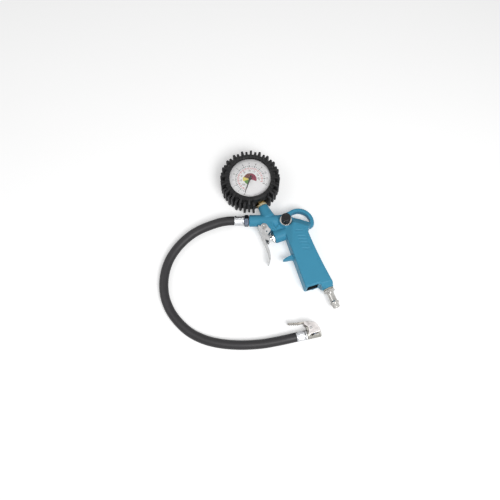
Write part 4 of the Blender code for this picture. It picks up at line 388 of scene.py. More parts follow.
def cast(name, solids, cuts, bores, voxel, passes, core=None):
    """Solids melted into one skin at a voxel's size, cut by others, melted again and smoothed, which
    leaves the small fillets of a casting where they meet; then the machined bores, with crisp edges.
    A core is a mesh that is melted in with them."""
    made = placed(name, solids)
    if core:
        fused(made.data, core)
    melt = {"mode": "VOXEL", "voxel_size": voxel * MM}
    worked(made, "REMESH", **melt)
    helpers = carve(made, cuts)
    if cuts:
        worked(made, "REMESH", **melt)
    worked(made, "SMOOTH", factor=0.5, iterations=passes)
    return settled(made, helpers + carve(made, bores))


def fused(mesh, other):
    """The first mesh with the other's faces added to it."""
    both = bmesh.new()
    both.from_mesh(mesh)
    both.from_mesh(other)
    both.to_mesh(mesh)
    both.free()
    return mesh


def body_of(node):
    """The body of the frame that carries a solid."""
    return next(name for name, nodes in frame["record"]["behaviour"]["bodies"].items() if node in nodes)


def refined(name, node, edge, finish):
    """Copy of a solid with its flat faces merged and its edges broken by a narrow bevel."""
    made = placed(name, frame["nodes"][node].data.copy())
    worked(made, "WELD", merge_threshold=0.01 * MM)
    worked(made, "DECIMATE", decimate_type="DISSOLVE", angle_limit=math.radians(1.0))
    worked(made, "BEVEL", width=edge * MM, segments=3, limit_method="ANGLE", angle_limit=math.radians(34.0),
           harden_normals=False)
    return piece(name, settled(made), finish, body_of(node), (node,), 20.0)


def dressed(node, surface):
    """A solid of the frame that keeps its shape and gets a finish."""
    made = frame["nodes"][node]
    made.data.materials.clear()
    made.data.materials.append(surface)
    return made


def sprung(name, node, moving, place, fixed, driven):
    """Spring copied from a solid and left where it is; the ends on the gun and on a plunger along the place's third
    axis are handed on but move nothing.
    """
    mesh = frame["nodes"][node].data.copy()
    ends = ("gun", moving, place((0, 0, fixed)), place((0, 0, driven)))
    return piece(name, mesh, finish("bright_nickel"), ends, (node,))


# ---------------------------------------------------------------- shader kit
class Value:
    """A socket that adds Math nodes to its finish when it stands in an expression."""

    def __init__(self, finish, socket):
        self.finish, self.socket = finish, socket

    def maths(self, operation, *values):
        return self.finish.maths(operation, *values)

    def __add__(self, other):
        return self.maths("ADD", self, other)

    __radd__ = __add__

    def __sub__(self, other):
        return self.maths("SUBTRACT", self, other)

    def __rsub__(self, other):
        return self.maths("SUBTRACT", other, self)

    def __mul__(self, other):
        return self.maths("MULTIPLY", self, other)

    __rmul__ = __mul__

    def __gt__(self, other):
        return self.maths("GREATER_THAN", self, other)


WHITE = (1.0, 1.0, 1.0, 1.0)


class Finish:
    """A node tree, of a material or of the world, with one way to add nodes."""

    def __init__(self, name, world=False):
        self.owner = (bpy.data.worlds if world else bpy.data.materials).new(name)
        self.owner.use_nodes = True
        self.nodes, self.links = self.owner.node_tree.nodes, self.owner.node_tree.links
        self.nodes.clear()
        self.output = self.nodes.new("ShaderNodeOutputWorld" if world else "ShaderNodeOutputMaterial")

    def add(self, kind, settings=None, inputs=None, output=0):
        made = self.nodes.new(kind)
        for key, value in (settings or {}).items():
            setattr(made, key, value)
        for key, value in (inputs or {}).items():
            if isinstance(value, Value):
                self.links.new(value.socket, made.inputs[key])
            elif value is not None:
                made.inputs[key].default_value = value
        return Value(self, made.outputs[output])

    def where(self, scale=(1.0, 1.0, 1.0)):
        point = self.add("ShaderNodeTexCoord", output="Object")
        return self.add("ShaderNodeMapping", {}, {"Vector": point, "Scale": scale})

    def maths(self, operation, *values):
        return self.add("ShaderNodeMath", {"operation": operation}, dict(enumerate(values)))

    def vectors(self, operation, *values, output="Vector"):
        return self.add("ShaderNodeVectorMath", {"operation": operation}, dict(enumerate(values)), output)

    def ray(self, kind):
        """1 where the ray is of a kind: Camera, Glossy or Transmission."""
        return self.add("ShaderNodeLightPath", output=f"Is {kind} Ray")

    def from_point(self, corner):
        """Way from a point of the scene to the place being shaded."""
        return self.vectors("SUBTRACT", self.add("ShaderNodeTexCoord", output="Object"), tuple(corner))

    def noise(self, place, scale, detail=3.0, roughness=0.5):
        return self.add("ShaderNodeTexNoise", {},
                        {"Vector": place, "Scale": scale, "Detail": detail, "Roughness": roughness})

    def blend(self, amount, first, second):
        colours = {0: amount, 6: first if isinstance(first, Value) else (*first, 1.0),
                   7: second if isinstance(second, Value) else (*second, 1.0)}
        return self.add("ShaderNodeMix", {"data_type": "RGBA"}, colours, output=2)

    def ramp(self, amount, *stops):
        made = self.add("ShaderNodeValToRGB", {}, {"Fac": amount})
        colours = made.socket.node.color_ramp.elements
        colours.remove(colours[1])
        colours[0].position, colours[0].color = stops[0][0], (*stops[0][1], 1.0)
        for position, colour in stops[1:]:
            colours.new(position).color = (*colour, 1.0)
        return made

    def bump(self, height, distance, strength=1.0, under=None):
        return self.add("ShaderNodeBump", {},
                        {"Height": height, "Distance": distance * MM, "Strength": strength, "Normal": under})

    def skin(self, **sockets):
        """The Principled surface; a socket's name is written with underscores for spaces."""
        inputs = {key.replace("_", " "): value for key, value in sockets.items()}
        return self.shown(self.add("ShaderNodeBsdfPrincipled", {}, inputs))

    def shown(self, surface):
        """Joins a surface to the tree's output and hands back what the tree belongs to."""
        self.links.new(surface.socket, self.output.inputs["Surface"])
        return self.owner


def shade_of(colour, factor):
    return tuple(min(1.0, c * factor) for c in colour)


def enamel(name, colour):
    """Stoved enamel on a casting: a slow drift of shade, an orange-peel skin, a little chalking, and painted shade,
    near black, on the walls of the grip's cored pocket.
    """
    f = Finish(name)
    place = f.where()
    drift = f.noise(place, 28.0, 2.0)
    chalk = f.noise(place, 240.0, 5.0, 0.65)
    tone = f.blend(drift, shade_of(colour, 0.9), shade_of(colour, 1.06))
    tone = f.blend(f.ramp(chalk, (0.62, (0.0, 0.0, 0.0)), (0.8, (0.3, 0.3, 0.3))), tone, shade_of(colour, 1.35))
    # painted shade: the enamel turns near black on the walls of the grip's cored pocket
    tone = f.blend(pocket_inside(f), tone, (0.010, 0.016, 0.020))
    peel = f.noise(place, 650.0, 2.0)
    grit = f.noise(place, 2600.0, 2.0)
    return f.skin(Base_Color=tone, Roughness=0.36 + chalk * 0.12, Specular_IOR_Level=0.3, IOR=1.33,
                  Normal=f.bump(grit, 0.008, 1.0, f.bump(peel, 0.035)))


POCKET_MIDDLE = 10.5                                # the cored pocket of the grip, from its front edge
POCKET_REACH = 8.0                                  # half its width, with half a millimetre to spare
POCKET_DEPTH = 10.4                                 # half its depth, with a little to spare
POCKET_END = 34.0                                   # its inner end, down the grip


def pocket_inside(f):
    """1 on the walls of the grip's cored pocket, where the enamel paints shade near black, and 0 outside it."""
    lean = math.radians(HANDLE_LEAN)
    point = f.from_point(GUN((*handle(HANDLE_LENGTH, 0.0), 0.0)))
    across, along, up = (f.vectors("DOT_PRODUCT", point, axis, output="Value") for axis in (
        (math.cos(lean), math.sin(lean), 0.0), (math.sin(lean), -math.cos(lean), 0.0), (0.0, 0.0, 1.0)))
    beside = POCKET_REACH * MM - f.maths("ABSOLUTE", across - POCKET_MIDDLE * MM)
    deep = POCKET_DEPTH * MM - f.maths("ABSOLUTE", up)
    inner = along + (HANDLE_LENGTH - POCKET_END) * MM
    return (beside > 0.0) * (deep > 0.0) * ((-0.4 * MM - along) > 0.0) * (inner > 0.0)


def plated(name, colour, roughness, grain=900.0):
    """Plated metal: slightly clouded, with the faint pits of a tumbled part."""
    f = Finish(name)
    place = f.where()
    cloud = f.noise(place, 130.0, 4.0, 0.6)
    pits = f.noise(place, grain, 3.0)
    tone = f.ramp(cloud, (0.3, shade_of(colour, 0.62)), (0.52, shade_of(colour, 0.95)),
                  (0.75, shade_of(colour, 1.12)))
    return f.skin(Base_Color=tone, Metallic=1.0, Roughness=roughness - 0.05 + cloud * 0.14,
                  Normal=f.bump(pits, 0.012))


def rubber(name, colour, roughness):
    """Moulded rubber: a fine matt grain, paler where it is rubbed or dusty."""
    f = Finish(name)
    place = f.where()
    dust = f.noise(place, 70.0, 6.0, 0.65)
    tone = f.ramp(dust, (0.35, shade_of(colour, 0.8)), (0.62, colour), (0.82, shade_of(colour, 1.7)))
    grain = f.noise(place, 2600.0, 3.0, 0.6)
    return f.skin(Base_Color=tone, Roughness=roughness - 0.06 + dust * 0.14, Specular_IOR_Level=0.4,
                  Normal=f.bump(grain, 0.04))


def hose_rubber(name, colour):
    """Extruded rubber: smooth, faintly ringed, with a soft sheen."""
    f = Finish(name)
    place = f.where()
    dust = f.noise(place, 60.0, 6.0, 0.6)
    tone = f.ramp(dust, (0.3, shade_of(colour, 0.8)), (0.6, colour), (0.85, shade_of(colour, 1.8)))
    grain = f.noise(place, 1800.0, 3.0, 0.6)
    slow = f.noise(place, 160.0, 2.0)
    return f.skin(Base_Color=tone, Roughness=0.42 + dust * 0.16, Specular_IOR_Level=0.5,
                  Normal=f.bump(grain, 0.03, 1.0, f.bump(slow, 0.12)))


def boot_rubber(name, colour):
    """Rubber of the boot: painted shade in the gaps between lugs, a painted highlight where the lugs stand out, and
    dust at random.
    """
    f = Finish(name)
    place = f.where()
    beside = f.vectors("MULTIPLY", f.from_point(BENCH_GAUGE), (1.0, 1.0, 0.0))
    reach = f.vectors("LENGTH", beside, output="Value") * 20.0            # 1 at 50 mm from the gauge's axis
    # painted shade between the lugs and a painted highlight on their outer faces, set by distance from the gauge's
    # axis
    tone = f.ramp(reach, (0.62, colour), (0.68, shade_of(colour, 0.45)), (0.715, shade_of(colour, 0.9)),
                  (0.75, shade_of(colour, 1.9)))
    dust = f.noise(place, 90.0, 6.0, 0.65)
    tone = f.blend(dust, shade_of(colour, 0.5), tone)
    grain = f.noise(place, 2600.0, 3.0, 0.6)
    return f.skin(Base_Color=tone, Roughness=0.48 + dust * 0.16, Specular_IOR_Level=0.35,
                  Normal=f.bump(grain, 0.04))


def moulded(name, colour, roughness):
    """Moulded plastic or fibre with a faint spark-eroded skin."""
    f = Finish(name)
    place = f.where()
    cloud = f.noise(place, 200.0, 3.0)
    skin = f.noise(place, 3200.0, 2.0)
    return f.skin(Base_Color=f.blend(cloud, shade_of(colour, 0.88), shade_of(colour, 1.08)),
                  Roughness=roughness - 0.04 + cloud * 0.08, Specular_IOR_Level=0.3, Normal=f.bump(skin, 0.02))


def printed(name, colour):
    """Screen-printed ink or white enamel on the dial."""
    f = Finish(name)
    cloud = f.noise(f.where(), 500.0, 2.0)
    return f.skin(Base_Color=f.blend(cloud, shade_of(colour, 0.97), shade_of(colour, 1.03)),
                  Roughness=0.42 + cloud * 0.06)


def window(name, tint):
    """Clear window: mirrors at its edge, clear elsewhere, with a breath of scratches."""
    f = Finish(name)
    scratch = f.noise(f.where(scale=(1.0, 12.0, 1.0)), 260.0, 4.0, 0.7)
    clear = f.add("ShaderNodeBsdfTransparent", {}, {"Color": tint})
    gloss = f.add("ShaderNodeBsdfGlossy", {}, {"Roughness": 0.03, "Color": tint})
    edge = f.add("ShaderNodeFresnel", {}, {"IOR": 1.45})
    return f.shown(f.add("ShaderNodeMixShader", {}, {0: edge * 0.7 + scratch * 0.01, 1: clear, 2: gloss}))


def bench_white(name, tint):
    """White bench: plain diffuse, lifted a little where the camera, a mirror or the window sees it."""
    f = Finish(name)
    seen, mirrored, passed = (f.ray(kind) for kind in ("Camera", "Glossy", "Transmission"))
    drift = f.noise(f.where(), 6.0, 2.0)
    tone = f.blend(drift, (0.90, 0.90, 0.90), (0.92, 0.92, 0.92))
    plain = f.add("ShaderNodeBsdfDiffuse", {}, {"Color": tone})
    glow = f.add("ShaderNodeEmission", {}, {"Color": tint, "Strength": (seen + mirrored + passed) * 0.32})
    return f.shown(f.add("ShaderNodeAddShader", {}, {0: plain, 1: glow}))


# Each finish: how it is made, its colour (a name is one of the colours a user may change), its values.
FINISH_TABLE = {
    "teal_enamel": (enamel, "enamel"),
    "bright_nickel": (plated, "nickel", 0.15),
    "satin_zinc": (plated, "zinc", 0.34, 1500.0),
    "pressed_zinc": (plated, (0.62, 0.63, 0.65), 0.3, 1500.0),
    "lever_plate": (plated, (0.60, 0.57, 0.56), 0.4, 1500.0),
    # darker copy of the lever's plating: painted shade on the thumb tab
    "thumb_plate": (plated, (0.30, 0.28, 0.25), 0.34, 1500.0),
    "die_zinc": (plated, (0.40, 0.39, 0.36), 0.42, 1500.0),
    "gunmetal": (plated, (0.085, 0.10, 0.13), 0.3),
    "brass": (plated, "brass", 0.3, 1200.0),
    "black_plastic": (moulded, "plastic", 0.5),
    "case_paint": (moulded, (0.016, 0.016, 0.016), 0.4),
    "washer_fibre": (moulded, (0.72, 0.64, 0.42), 0.8),
    "washer_grey": (moulded, (0.50, 0.50, 0.44), 0.6),
    "seal_rubber": (rubber, (0.012, 0.012, 0.012), 0.6),
    "hose_rubber": (hose_rubber, "hose"),
    "boot_rubber": (boot_rubber, "boot"),
    "window_clear": (window, WHITE),
    "bench_white": (bench_white, WHITE),
    "dial_enamel": (printed, "dial"),
    "dial_black": (printed, "outer_scale"),
    "dial_red": (printed, "inner_scale"),
    "dial_maroon": (printed, (0.10, 0.008, 0.01)),
    "dial_green": (printed, (0.10, 0.28, 0.03)),
    "dial_yellow": (printed, (0.86, 0.74, 0.16)),
    "dial_brown": (printed, (0.17, 0.035, 0.015)),
    "dial_crimson": (printed, (0.26, 0.004, 0.045)),
}
FINISHES = {}


def finish(name):
    """A finish of the table, made once and then shared."""
    if name not in FINISHES:
        make, colour, *values = FINISH_TABLE[name]
        colour = tuple(getattr(bpy.context.scene.inflator_colours, colour)) if isinstance(colour, str) else colour
        FINISHES[name] = make(name, colour, *values)
    return FINISHES[name]


# ---------------------------------------------------------------- sizes and colours a user may change
def length_of(name, description, default, **limits):
    """A length that a user may change, in metres."""
    return bpy.props.FloatProperty(name=name, description=description, default=default, subtype="DISTANCE",
                                   unit="LENGTH", **limits)


def colour_of(name, description, default):
    """A colour that a user may change."""
    return bpy.props.FloatVectorProperty(name=name, description=description, default=default, subtype="COLOR",
                                         min=0.0, max=1.0)


class InflatorSizes(bpy.types.PropertyGroup):
    hose_diameter: length_of("Hose diameter", "Outside diameter of the hose", 0.012, min=0.008, max=0.016)
    lug_draft: bpy.props.FloatProperty(
        name="Lug draft", description="Share of a boot lug's width over which its side slopes", default=0.22,
        min=0.05, max=0.4)
    knob_ribs: bpy.props.IntProperty(
        name="Knob ribs", description="Ribs round the bleed knob", default=24, min=8, max=60)
    casting_voxel: length_of("Casting voxel", "Grain at which the casting's parts melt together", 0.00062,
                             min=0.0004, max=0.002)
    view_height: bpy.props.FloatProperty(
        name="View height", description="Camera's angle above the bench", default=math.radians(72.4),
        subtype="ANGLE", unit="ROTATION")
    view_distance: length_of("View distance", "Camera to the middle of the picture", 0.75)


class InflatorColours(bpy.types.PropertyGroup):
    enamel: colour_of("Enamel", "Paint of the casting", (0.062, 0.30, 0.46))
    nickel: colour_of("Nickel", "Bright plating", (0.52, 0.51, 0.49))
    zinc: colour_of("Zinc", "Satin plating of pressed pieces", (0.56, 0.56, 0.56))
    brass: colour_of("Brass", "Turned and stamped brass", (0.50, 0.34, 0.12))
    hose: colour_of("Hose", "Rubber of the hose", (0.0100, 0.0088, 0.0108))
    boot: colour_of("Boot", "Rubber of the gauge boot", (0.009, 0.009, 0.010))
    plastic: colour_of("Plastic", "Knob and pointer", (0.008, 0.007, 0.0075))
    dial: colour_of("Dial", "Enamel of the dial", (0.97, 0.965, 0.97))
    outer_scale: colour_of("Outer scale", "Ink of the outer scale", (0.012, 0.012, 0.012))
    inner_scale: colour_of("Inner scale", "Ink of the inner scale", (0.60, 0.03, 0.03))


def sizes():
    """The sizes a user may change."""
    return bpy.context.scene.inflator_sizes


class PieceOperator:
    bl_options = {"REGISTER", "UNDO"}


# ---------------------------------------------------------------- stage
SENSOR = 36.0
BENCH_TOP = -0.0004                                 # in metres: a hair under the grip's flat side
DIFFUSE_LEVEL = 0.27                                # of the white surroundings, where no eye or mirror sees them
LAMPS = (("key", (0.32, -0.52, 0.92), 7.4, 0.45), ("fill", (-0.6, 0.0, 0.8), 1.5, 0.6))


class INFLATOR_OT_stage(PieceOperator, bpy.types.Operator):
    """Pale bench, soft lamps, and the camera above the front edge"""

    bl_idname = "inflator.stage"
    bl_label = "Stage"

    def execute(self, context):
        scene = context.scene
        scene.view_settings.view_transform = "Standard"
        middle = GUN((1.3, -36.7, -HANDLE_HALF))                # what the camera and the lamps point at
        height = sizes().view_height
        data = bpy.data.cameras.new("camera")
        data.sensor_width = SENSOR
        data.lens = 560.0 / 500.0 * SENSOR                      # 560 px of focal length on a 500 px picture
        data.clip_start = 0.01
        scene.camera = camera = placed("camera", data)
        camera.location = middle + np.array((0.0, -math.cos(height), math.sin(height))) * sizes().view_distance
        camera.rotation_euler = (math.pi / 2.0 - height, 0.0, 0.0)

        corners = [(x, y, BENCH_TOP) for x, y in ((-4, -4), (4, -4), (4, 4), (-4, 4))]
        floor = placed("bench", [Shape(corners, [(0, 1, 2, 3)])])
        floor.data.materials.append(finish("bench_white"))

        f = Finish("studio", world=True)
        shown = f.maths("MAXIMUM", f.maths("MAXIMUM", f.ray("Camera"), f.ray("Transmission")), f.ray("Glossy"))
        level = f.add("ShaderNodeMapRange", {}, {"Value": shown, "To Min": DIFFUSE_LEVEL, "To Max": 1.0})
        scene.world = f.shown(f.add("ShaderNodeBackground", {}, {"Strength": level, "Color": WHITE}))

        for name, spot, power, size in LAMPS:
            lamp = bpy.data.lights.new(name, "AREA")
            lamp.energy, lamp.size = power, size
            made = placed(name, lamp)
            made.location = middle + np.array(spot)
            aim = -np.array(spot)
            made.rotation_euler = (math.acos(-aim[2] / np.linalg.norm(aim)), 0.0,
                                   math.atan2(aim[1], aim[0]) - math.pi / 2.0)
        return {"FINISHED"}


# ---------------------------------------------------------------- gun casting
HOLE = np.array((66.0, -4.0))                       # middle of the hang loop
GROOVES = 7                                         # finger grooves on each side of the grip
GROOVE_PITCH = 4.4
SPUR = [(-0.04, -0.14), (0.0, 0.055), (0.06, 0.31), (0.125, 0.56), (0.24, 0.8), (0.39, 0.99), (0.52, 1.0),
        (0.66, 0.76), (0.725, 0.48), (0.76, 0.25), (0.99, 0.04), (1.2, -0.14)]      # shares down and out of the grip


def grip_outline():
    """Side view of the grip: straight front, heel, flared back, neck and shoulder."""
    heel = HANDLE_LENGTH + 5.6
    share = np.linspace(1.0, 0.0, 9)
    widths = 29.0 + 6.6 * share ** 1.6
    back = [handle(HANDLE_LENGTH * s, w) for s, w in zip(share, widths)]
    corners = [*(handle(*point) for point in (
        (0.0, 0.0), (HANDLE_LENGTH, 0.0), (HANDLE_LENGTH, 19.8), (heel, 20.7), (heel, 36.04))), *back,
        (77.8, -14.2), (80.4, -10.6), (82.2, -7.2), (81.0, -3.6), (56.5, 4.2), (48.0, -9.4), (47.6, -17.7)]
    reach = [3.0, 2.2, 1.2, 1.6, 2.6] + [3.0] * 9 + [1.5, 1.5, 1.5, 2.2, 3.0, 3.0, 3.0]
    return rounded(corners, reach)


def sloped(mesh, planes):
    """Both flats of the grip sink towards some of its edges: a point's height over the gun's plane is
    held under half + drop x (way in from the edge - inset) / inset."""
    points = np.empty(len(mesh.vertices) * 3)
    mesh.vertices.foreach_get("co", points)
    local = (points.reshape(-1, 3) - GUN.corner) / MM
    limit = np.full(len(local), HANDLE_HALF)
    for edge, inside, inset, drop in planes:
        way = (local[:, :2] - edge) @ (np.asarray(inside, float) / np.hypot(*inside))
        limit = np.minimum(limit, HANDLE_HALF + drop * (way - inset) / inset)
    local[:, 2] = np.clip(local[:, 2], -limit, limit)
    mesh.vertices.foreach_set("co", GUN(local).astype(np.float32).reshape(-1))
    return mesh


def rib(middle, tip, width, half):
    """Thin web from one point to another, as wide as asked and square to the gun's plane."""
    along = np.subtract(tip, middle)
    side = np.array((-along[1], along[0])) * (width / 2.0 / np.hypot(*along))
    outline = np.array([middle - side, tip - side, tip + side, middle + side])
    return slab(GUN, fine(outline, 0.6), -half, half, 0.5, 4)


class INFLATOR_OT_casting(PieceOperator, bpy.types.Operator):
    """Die-cast gun: grip, head, barrel, gauge post, bosses, hang loop and cored pocket"""

    bl_idname = "inflator.casting"
    bl_label = "Gun casting"

    def execute(self, context):
        shoulder, neck = (81.0, -3.6), (48.0, -9.4)
        planes = ((shoulder, (-0.303, -0.953), 9.0, 8.0), (shoulder, (-0.303, -0.953), 2.7, 10.0),
                  (neck, (0.848, -0.53), 7.0, 6.0), (neck, (1.0, -0.02), 9.0, 4.5),
                  (handle(77.4, 0.0), -DOWN, 5.0, 5.0))
        voxel = sizes().casting_voxel / MM
        side = slab(GUN, fine(grip_outline(), 0.7), -HANDLE_HALF, HANDLE_HALF, 2.6, 7)
        grip = sloped(cast("grip", [side], [], [], voxel, 0), planes)
        ribs_meet = np.array((35.3, -14.0))
        loop = np.concatenate((arc(HOLE, 20.5, 128, -9, 60), [HOLE + (15.6, -7.0)], arc(HOLE, 15.3, -3, 136, 50)))
        head = [(31.1, -13.9), (31.7, -19.5), (37.1, -26.5), (55.8, -21.7), (64.0, -6.0), (56.0, 4.8), (56.0, 9.0),
                (54.4, 12.75), (50.0, 10.4), (46.0, 7.7), (32.5, 6.3)]
        lug = np.concatenate((arc(PIVOT, 4.4, 175, 300, 24), [(31.7, -15.1), (32.5, 0.0), (11.1, 0.0)]))
        spur = [handle(22.3 + 8.0 * along, -14.5 * out) for along, out in SPUR]
        solids = [
            slab(GUN, fine(rounded(head, 1.0), 0.7), -5.2, 5.2, 1.2, 4),
            turned(BARREL, [(0.0, 7.3), (0.6, 7.9), (46.0, 7.9)], 120),
            slab(GUN, fine(lug, 0.7), -7.2, 7.2, 0.8, 4),
            turned(POST, [(5.0, 8.9), (10.0, 8.0), (16.0, 7.25), (22.6, 6.6), (23.2, 6.0)]),
            turned(VALVE, [(0.0, 7.7), (0.8, 8.5), (22.0, 8.5)]),
            turned(KNOB, [(-10.6, 8.8), (-10.2, 9.4), (9.6, 9.4), (10.0, 9.0)]),
            turned(INLET, [(0.0, 7.1), (-0.7, 7.8), (-19.0, 7.8)]),
            slab(GUN, fine(rounded(spur, 0.8), 0.5), -4.0, 4.0, 0.9, 4),
            slab(GUN, fine(loop, 0.6), -5.0, 5.0, 1.7, 6),
            *[rib(ribs_meet, tip, 1.8, 6.5) for tip in ((30.7, -6.5), (35.1, -19.0), (41.3, -6.5))],
        ]
        bores = [
            hole(BARREL, -2.0, 12.3, 5.3),
            hole(POST, 12.9, 25.2, 5.1),
            hole(VALVE, -2.0, 21.8, 5.3),
            turned(KNOB, [(-8.5, 4.6), (9.5, 4.6), (9.5, 8.8), (15.8, 8.8)], 64, 0.0),
            hole(INLET, -9.8, 2.0, 6.2),
            hole(GUN.moved(PIVOT), -13.0, 13.0, 2.3, 48),
        ]
        pocket = ((73.8, 3.0), (73.8, 18.0), (37.8, 15.0), (34.8, 12.0), (34.8, 6.0), (37.8, 3.0))
        cuts = [slab(GUN, [handle(*point) for point in pocket], -10.0, 10.0)]
        for low, high in ((-15.0, -12.2), (12.2, 15.0)):
            for number in range(GROOVES):
                middle = np.array((65.6, -17.6)) + DOWN * GROOVE_PITCH * number
                groove = middle + np.array(((-5.5, -0.75), (5.5, -0.75), (5.5, 0.75), (-5.5, 0.75)))
                cuts.append(slab(GUN, rounded(groove, 0.7), low, high))
        mesh = cast("gun_casting", solids, cuts, bores, voxel, 4, grip)
        piece("gun_casting", mesh, finish("teal_enamel"), "gun", ("gun_body",), sharp=60.0)
        return {"FINISHED"}


# ---------------------------------------------------------------- trigger, valve, knob, plug
class INFLATOR_OT_trigger(PieceOperator, bpy.types.Operator):
    """Folded trigger lever and its headed pin"""

    bl_idname = "inflator.trigger"
    bl_label = "Trigger"

    def execute(self, context):
        refined("trigger", "trigger_lever", 0.35, finish("satin_zinc"))
        end = [(9.6, 0.2), (9.7, 1.3), (10.3, 1.9), (10.3, 2.5), (9.8, 3.0), (9.3, 3.0), (9.3, 2.0)]
        rivet = turned(GUN.moved(PIVOT), [(-height, radius) for height, radius in end] + end[::-1], 64)
        piece("trigger_rivet", [rivet], finish("bright_nickel"), "gun", ("trigger_pin",))
        return {"FINISHED"}


class INFLATOR_OT_valves(PieceOperator, bpy.types.Operator):
    """Air valve behind the trigger and bleed valve under the knob"""

    bl_idname = "inflator.valves"
    bl_label = "Valves"

    def execute(self, context):
        bush = [*hexagon(-2.7, -0.3, 6.0, 0.5), (-0.3, 5.0), (9.0, 5.0)]
        nickel, rubbery = finish("bright_nickel"), finish("seal_rubber")
        piece("valve_nut", [bored(VALVE, bush, 2.3, 96, 0.08)], nickel, "gun", ("valve_bush",))
        stem = [(-6.4, 0.8), (-6.3, 1.5), (-5.7, 2.0), (10.8, 2.0), (10.8, 4.2), (12.8, 4.2), (12.8, 1.6),
                (14.8, 1.4)]
        piece("valve_rod", [turned(VALVE, stem, 64)], nickel, "valve_plunger", ("valve_stem",))
        for node in ("valve_seal", "valve_o_ring", "bleed_seal"):
            dressed(node, rubbery)
        sprung("valve_coil", "valve_spring", "valve_plunger", VALVE, 21.4, 13.2)

        ribs = sizes().knob_ribs
        columns = ribs * 12                             # enough to draw each wave
        angle = np.arange(columns) * TAU / columns
        wave = 0.5 - 0.5 * np.cos(angle * ribs)
        stations = softened([(13.6, 1.9), (13.6, 5.7), (14.1, 6.2), (14.9, 6.2), (20.0, 6.2), (20.7, 5.6),
                             (21.2, 4.6), (21.2, 4.0), (20.9, 3.6), (20.9, 0.6)], 0.2)
        along, radius = stations[:, 0][:, None], stations[:, 1][:, None]
        deep = np.clip((along - 14.2) / 0.5, 0, 1) * np.clip((20.4 - along) / 0.6, 0, 1) * (radius > 5.0)
        shell = lattice(KNOB(ringed(radius - 0.42 * deep * wave[None, :] ** 2, angle, along)))
        piece("bleed_knob", [shell], finish("black_plastic"), "bleed_plunger", ("bleed_button",))
        collar = [(0.9, 4.3), (9.8, 4.3), (9.8, 7.7), (10.1, 8.0), (10.9, 8.0), (11.3, 7.6)]
        piece("bleed_collar", [bored(KNOB, collar, 1.9, 72)], nickel, "gun", ("bleed_bush",))
        dressed("bleed_stem", finish("brass"))
        sprung("bleed_coil", "bleed_spring", "bleed_plunger", KNOB, -8.2, -2.6)
        return {"FINISHED"}


class INFLATOR_OT_plug(PieceOperator, bpy.types.Operator):
    """Air inlet plug with hexagon, neck and locking ridge, and its washer"""

    bl_idname = "inflator.plug"
    bl_label = "Inlet plug"

    def execute(self, context):
        profile = [(-9.5, 5.3), *threaded(-9.2, 1.2, 7, 5.9, 5.35), (1.8, 5.9), *hexagon(1.8, 5.8, 6.4),
                   (5.8, 5.4), (6.4, 4.9), (7.8, 4.6), (17.6, 4.6),
                   (19.2, 6.0), (21.2, 6.0), (22.2, 4.7), (26.1, 4.7), (26.8, 4.2), (27.0, 3.8)]
        piece("air_plug", [bored(INLET, profile, 3.0)], finish("bright_nickel"), "gun", ("inlet_plug",))
        dressed("inlet_seal", finish("washer_grey"))
        return {"FINISHED"}


# ---------------------------------------------------------------- hose and chuck
SLEEVE_LENGTH = 12.6
SLEEVE_START = -0.3 - 6.2 - 0.3 - SLEEVE_LENGTH     # the gun's sleeve, with its gaps and the hexagon before it
HOSE_ROUTE = [                                      # from the muzzle; the height is over the bench
    (-31.0, -0.6, 12.8), (-43.0, -3.0, 11.7), (-64.2, -10.6, 9.3), (-80.0, -20.4, 7.6), (-94.5, -35.0, 6.5),
    (-105.2, -53.0, 6.1), (-110.25, -72.0, 6.1), (-110.6, -91.2, 6.1), (-106.3, -109.3, 6.1),
    (-96.2, -127.7, 6.1), (-78.9, -145.4, 6.1), (-59.9, -156.1, 6.1), (-37.9, -162.1, 6.1),
    (-11.9, -164.3, 6.1), (14.2, -163.1, 6.3), (34.0, -160.0, 7.1), (49.0, -157.0, 7.9),
]


def crimped(place, length, radius, bore):
    """Sleeve pressed between two round ends: radius = the nearer of the round and the flat of eight jaws,
    less a groove left where two jaws meet, which is a narrow bell of the azimuth."""
    jaw, sides = TAU / 8.0, 192
    ends = [(0.0, -0.5), (0.15, -0.2), *((at, 0.0) for at in (0.5, 1.0, 1.4, 1.7, 2.0, 2.3, 2.5, 3.0))]
    ends = np.array(ends + [(length - at, lift) for at, lift in ends[::-1]])
    pressed = np.clip((ends[:, 0] - 1.5) / 0.7, 0.0, 1.0) * np.clip((length - 1.5 - ends[:, 0]) / 0.7, 0.0, 1.0)
    angle = np.arange(sides) * TAU / sides
    off = np.abs((angle + jaw / 2.0) % jaw - jaw / 2.0) * radius
    flat = np.minimum(radius, radius * 0.94 / np.cos(angle % jaw - jaw / 2.0)) - 0.8 * np.exp(-(off / 0.55) ** 2)
    reach = radius + ends[:, 1:] + pressed[:, None] * (flat - radius)[None]
    reach = np.concatenate((reach, np.full((2, sides), bore)))
    along = np.concatenate((ends[:, 0], (length, 0.0)))[:, None]
    return lattice(place(ringed(reach, angle, along)), rows_close=True)


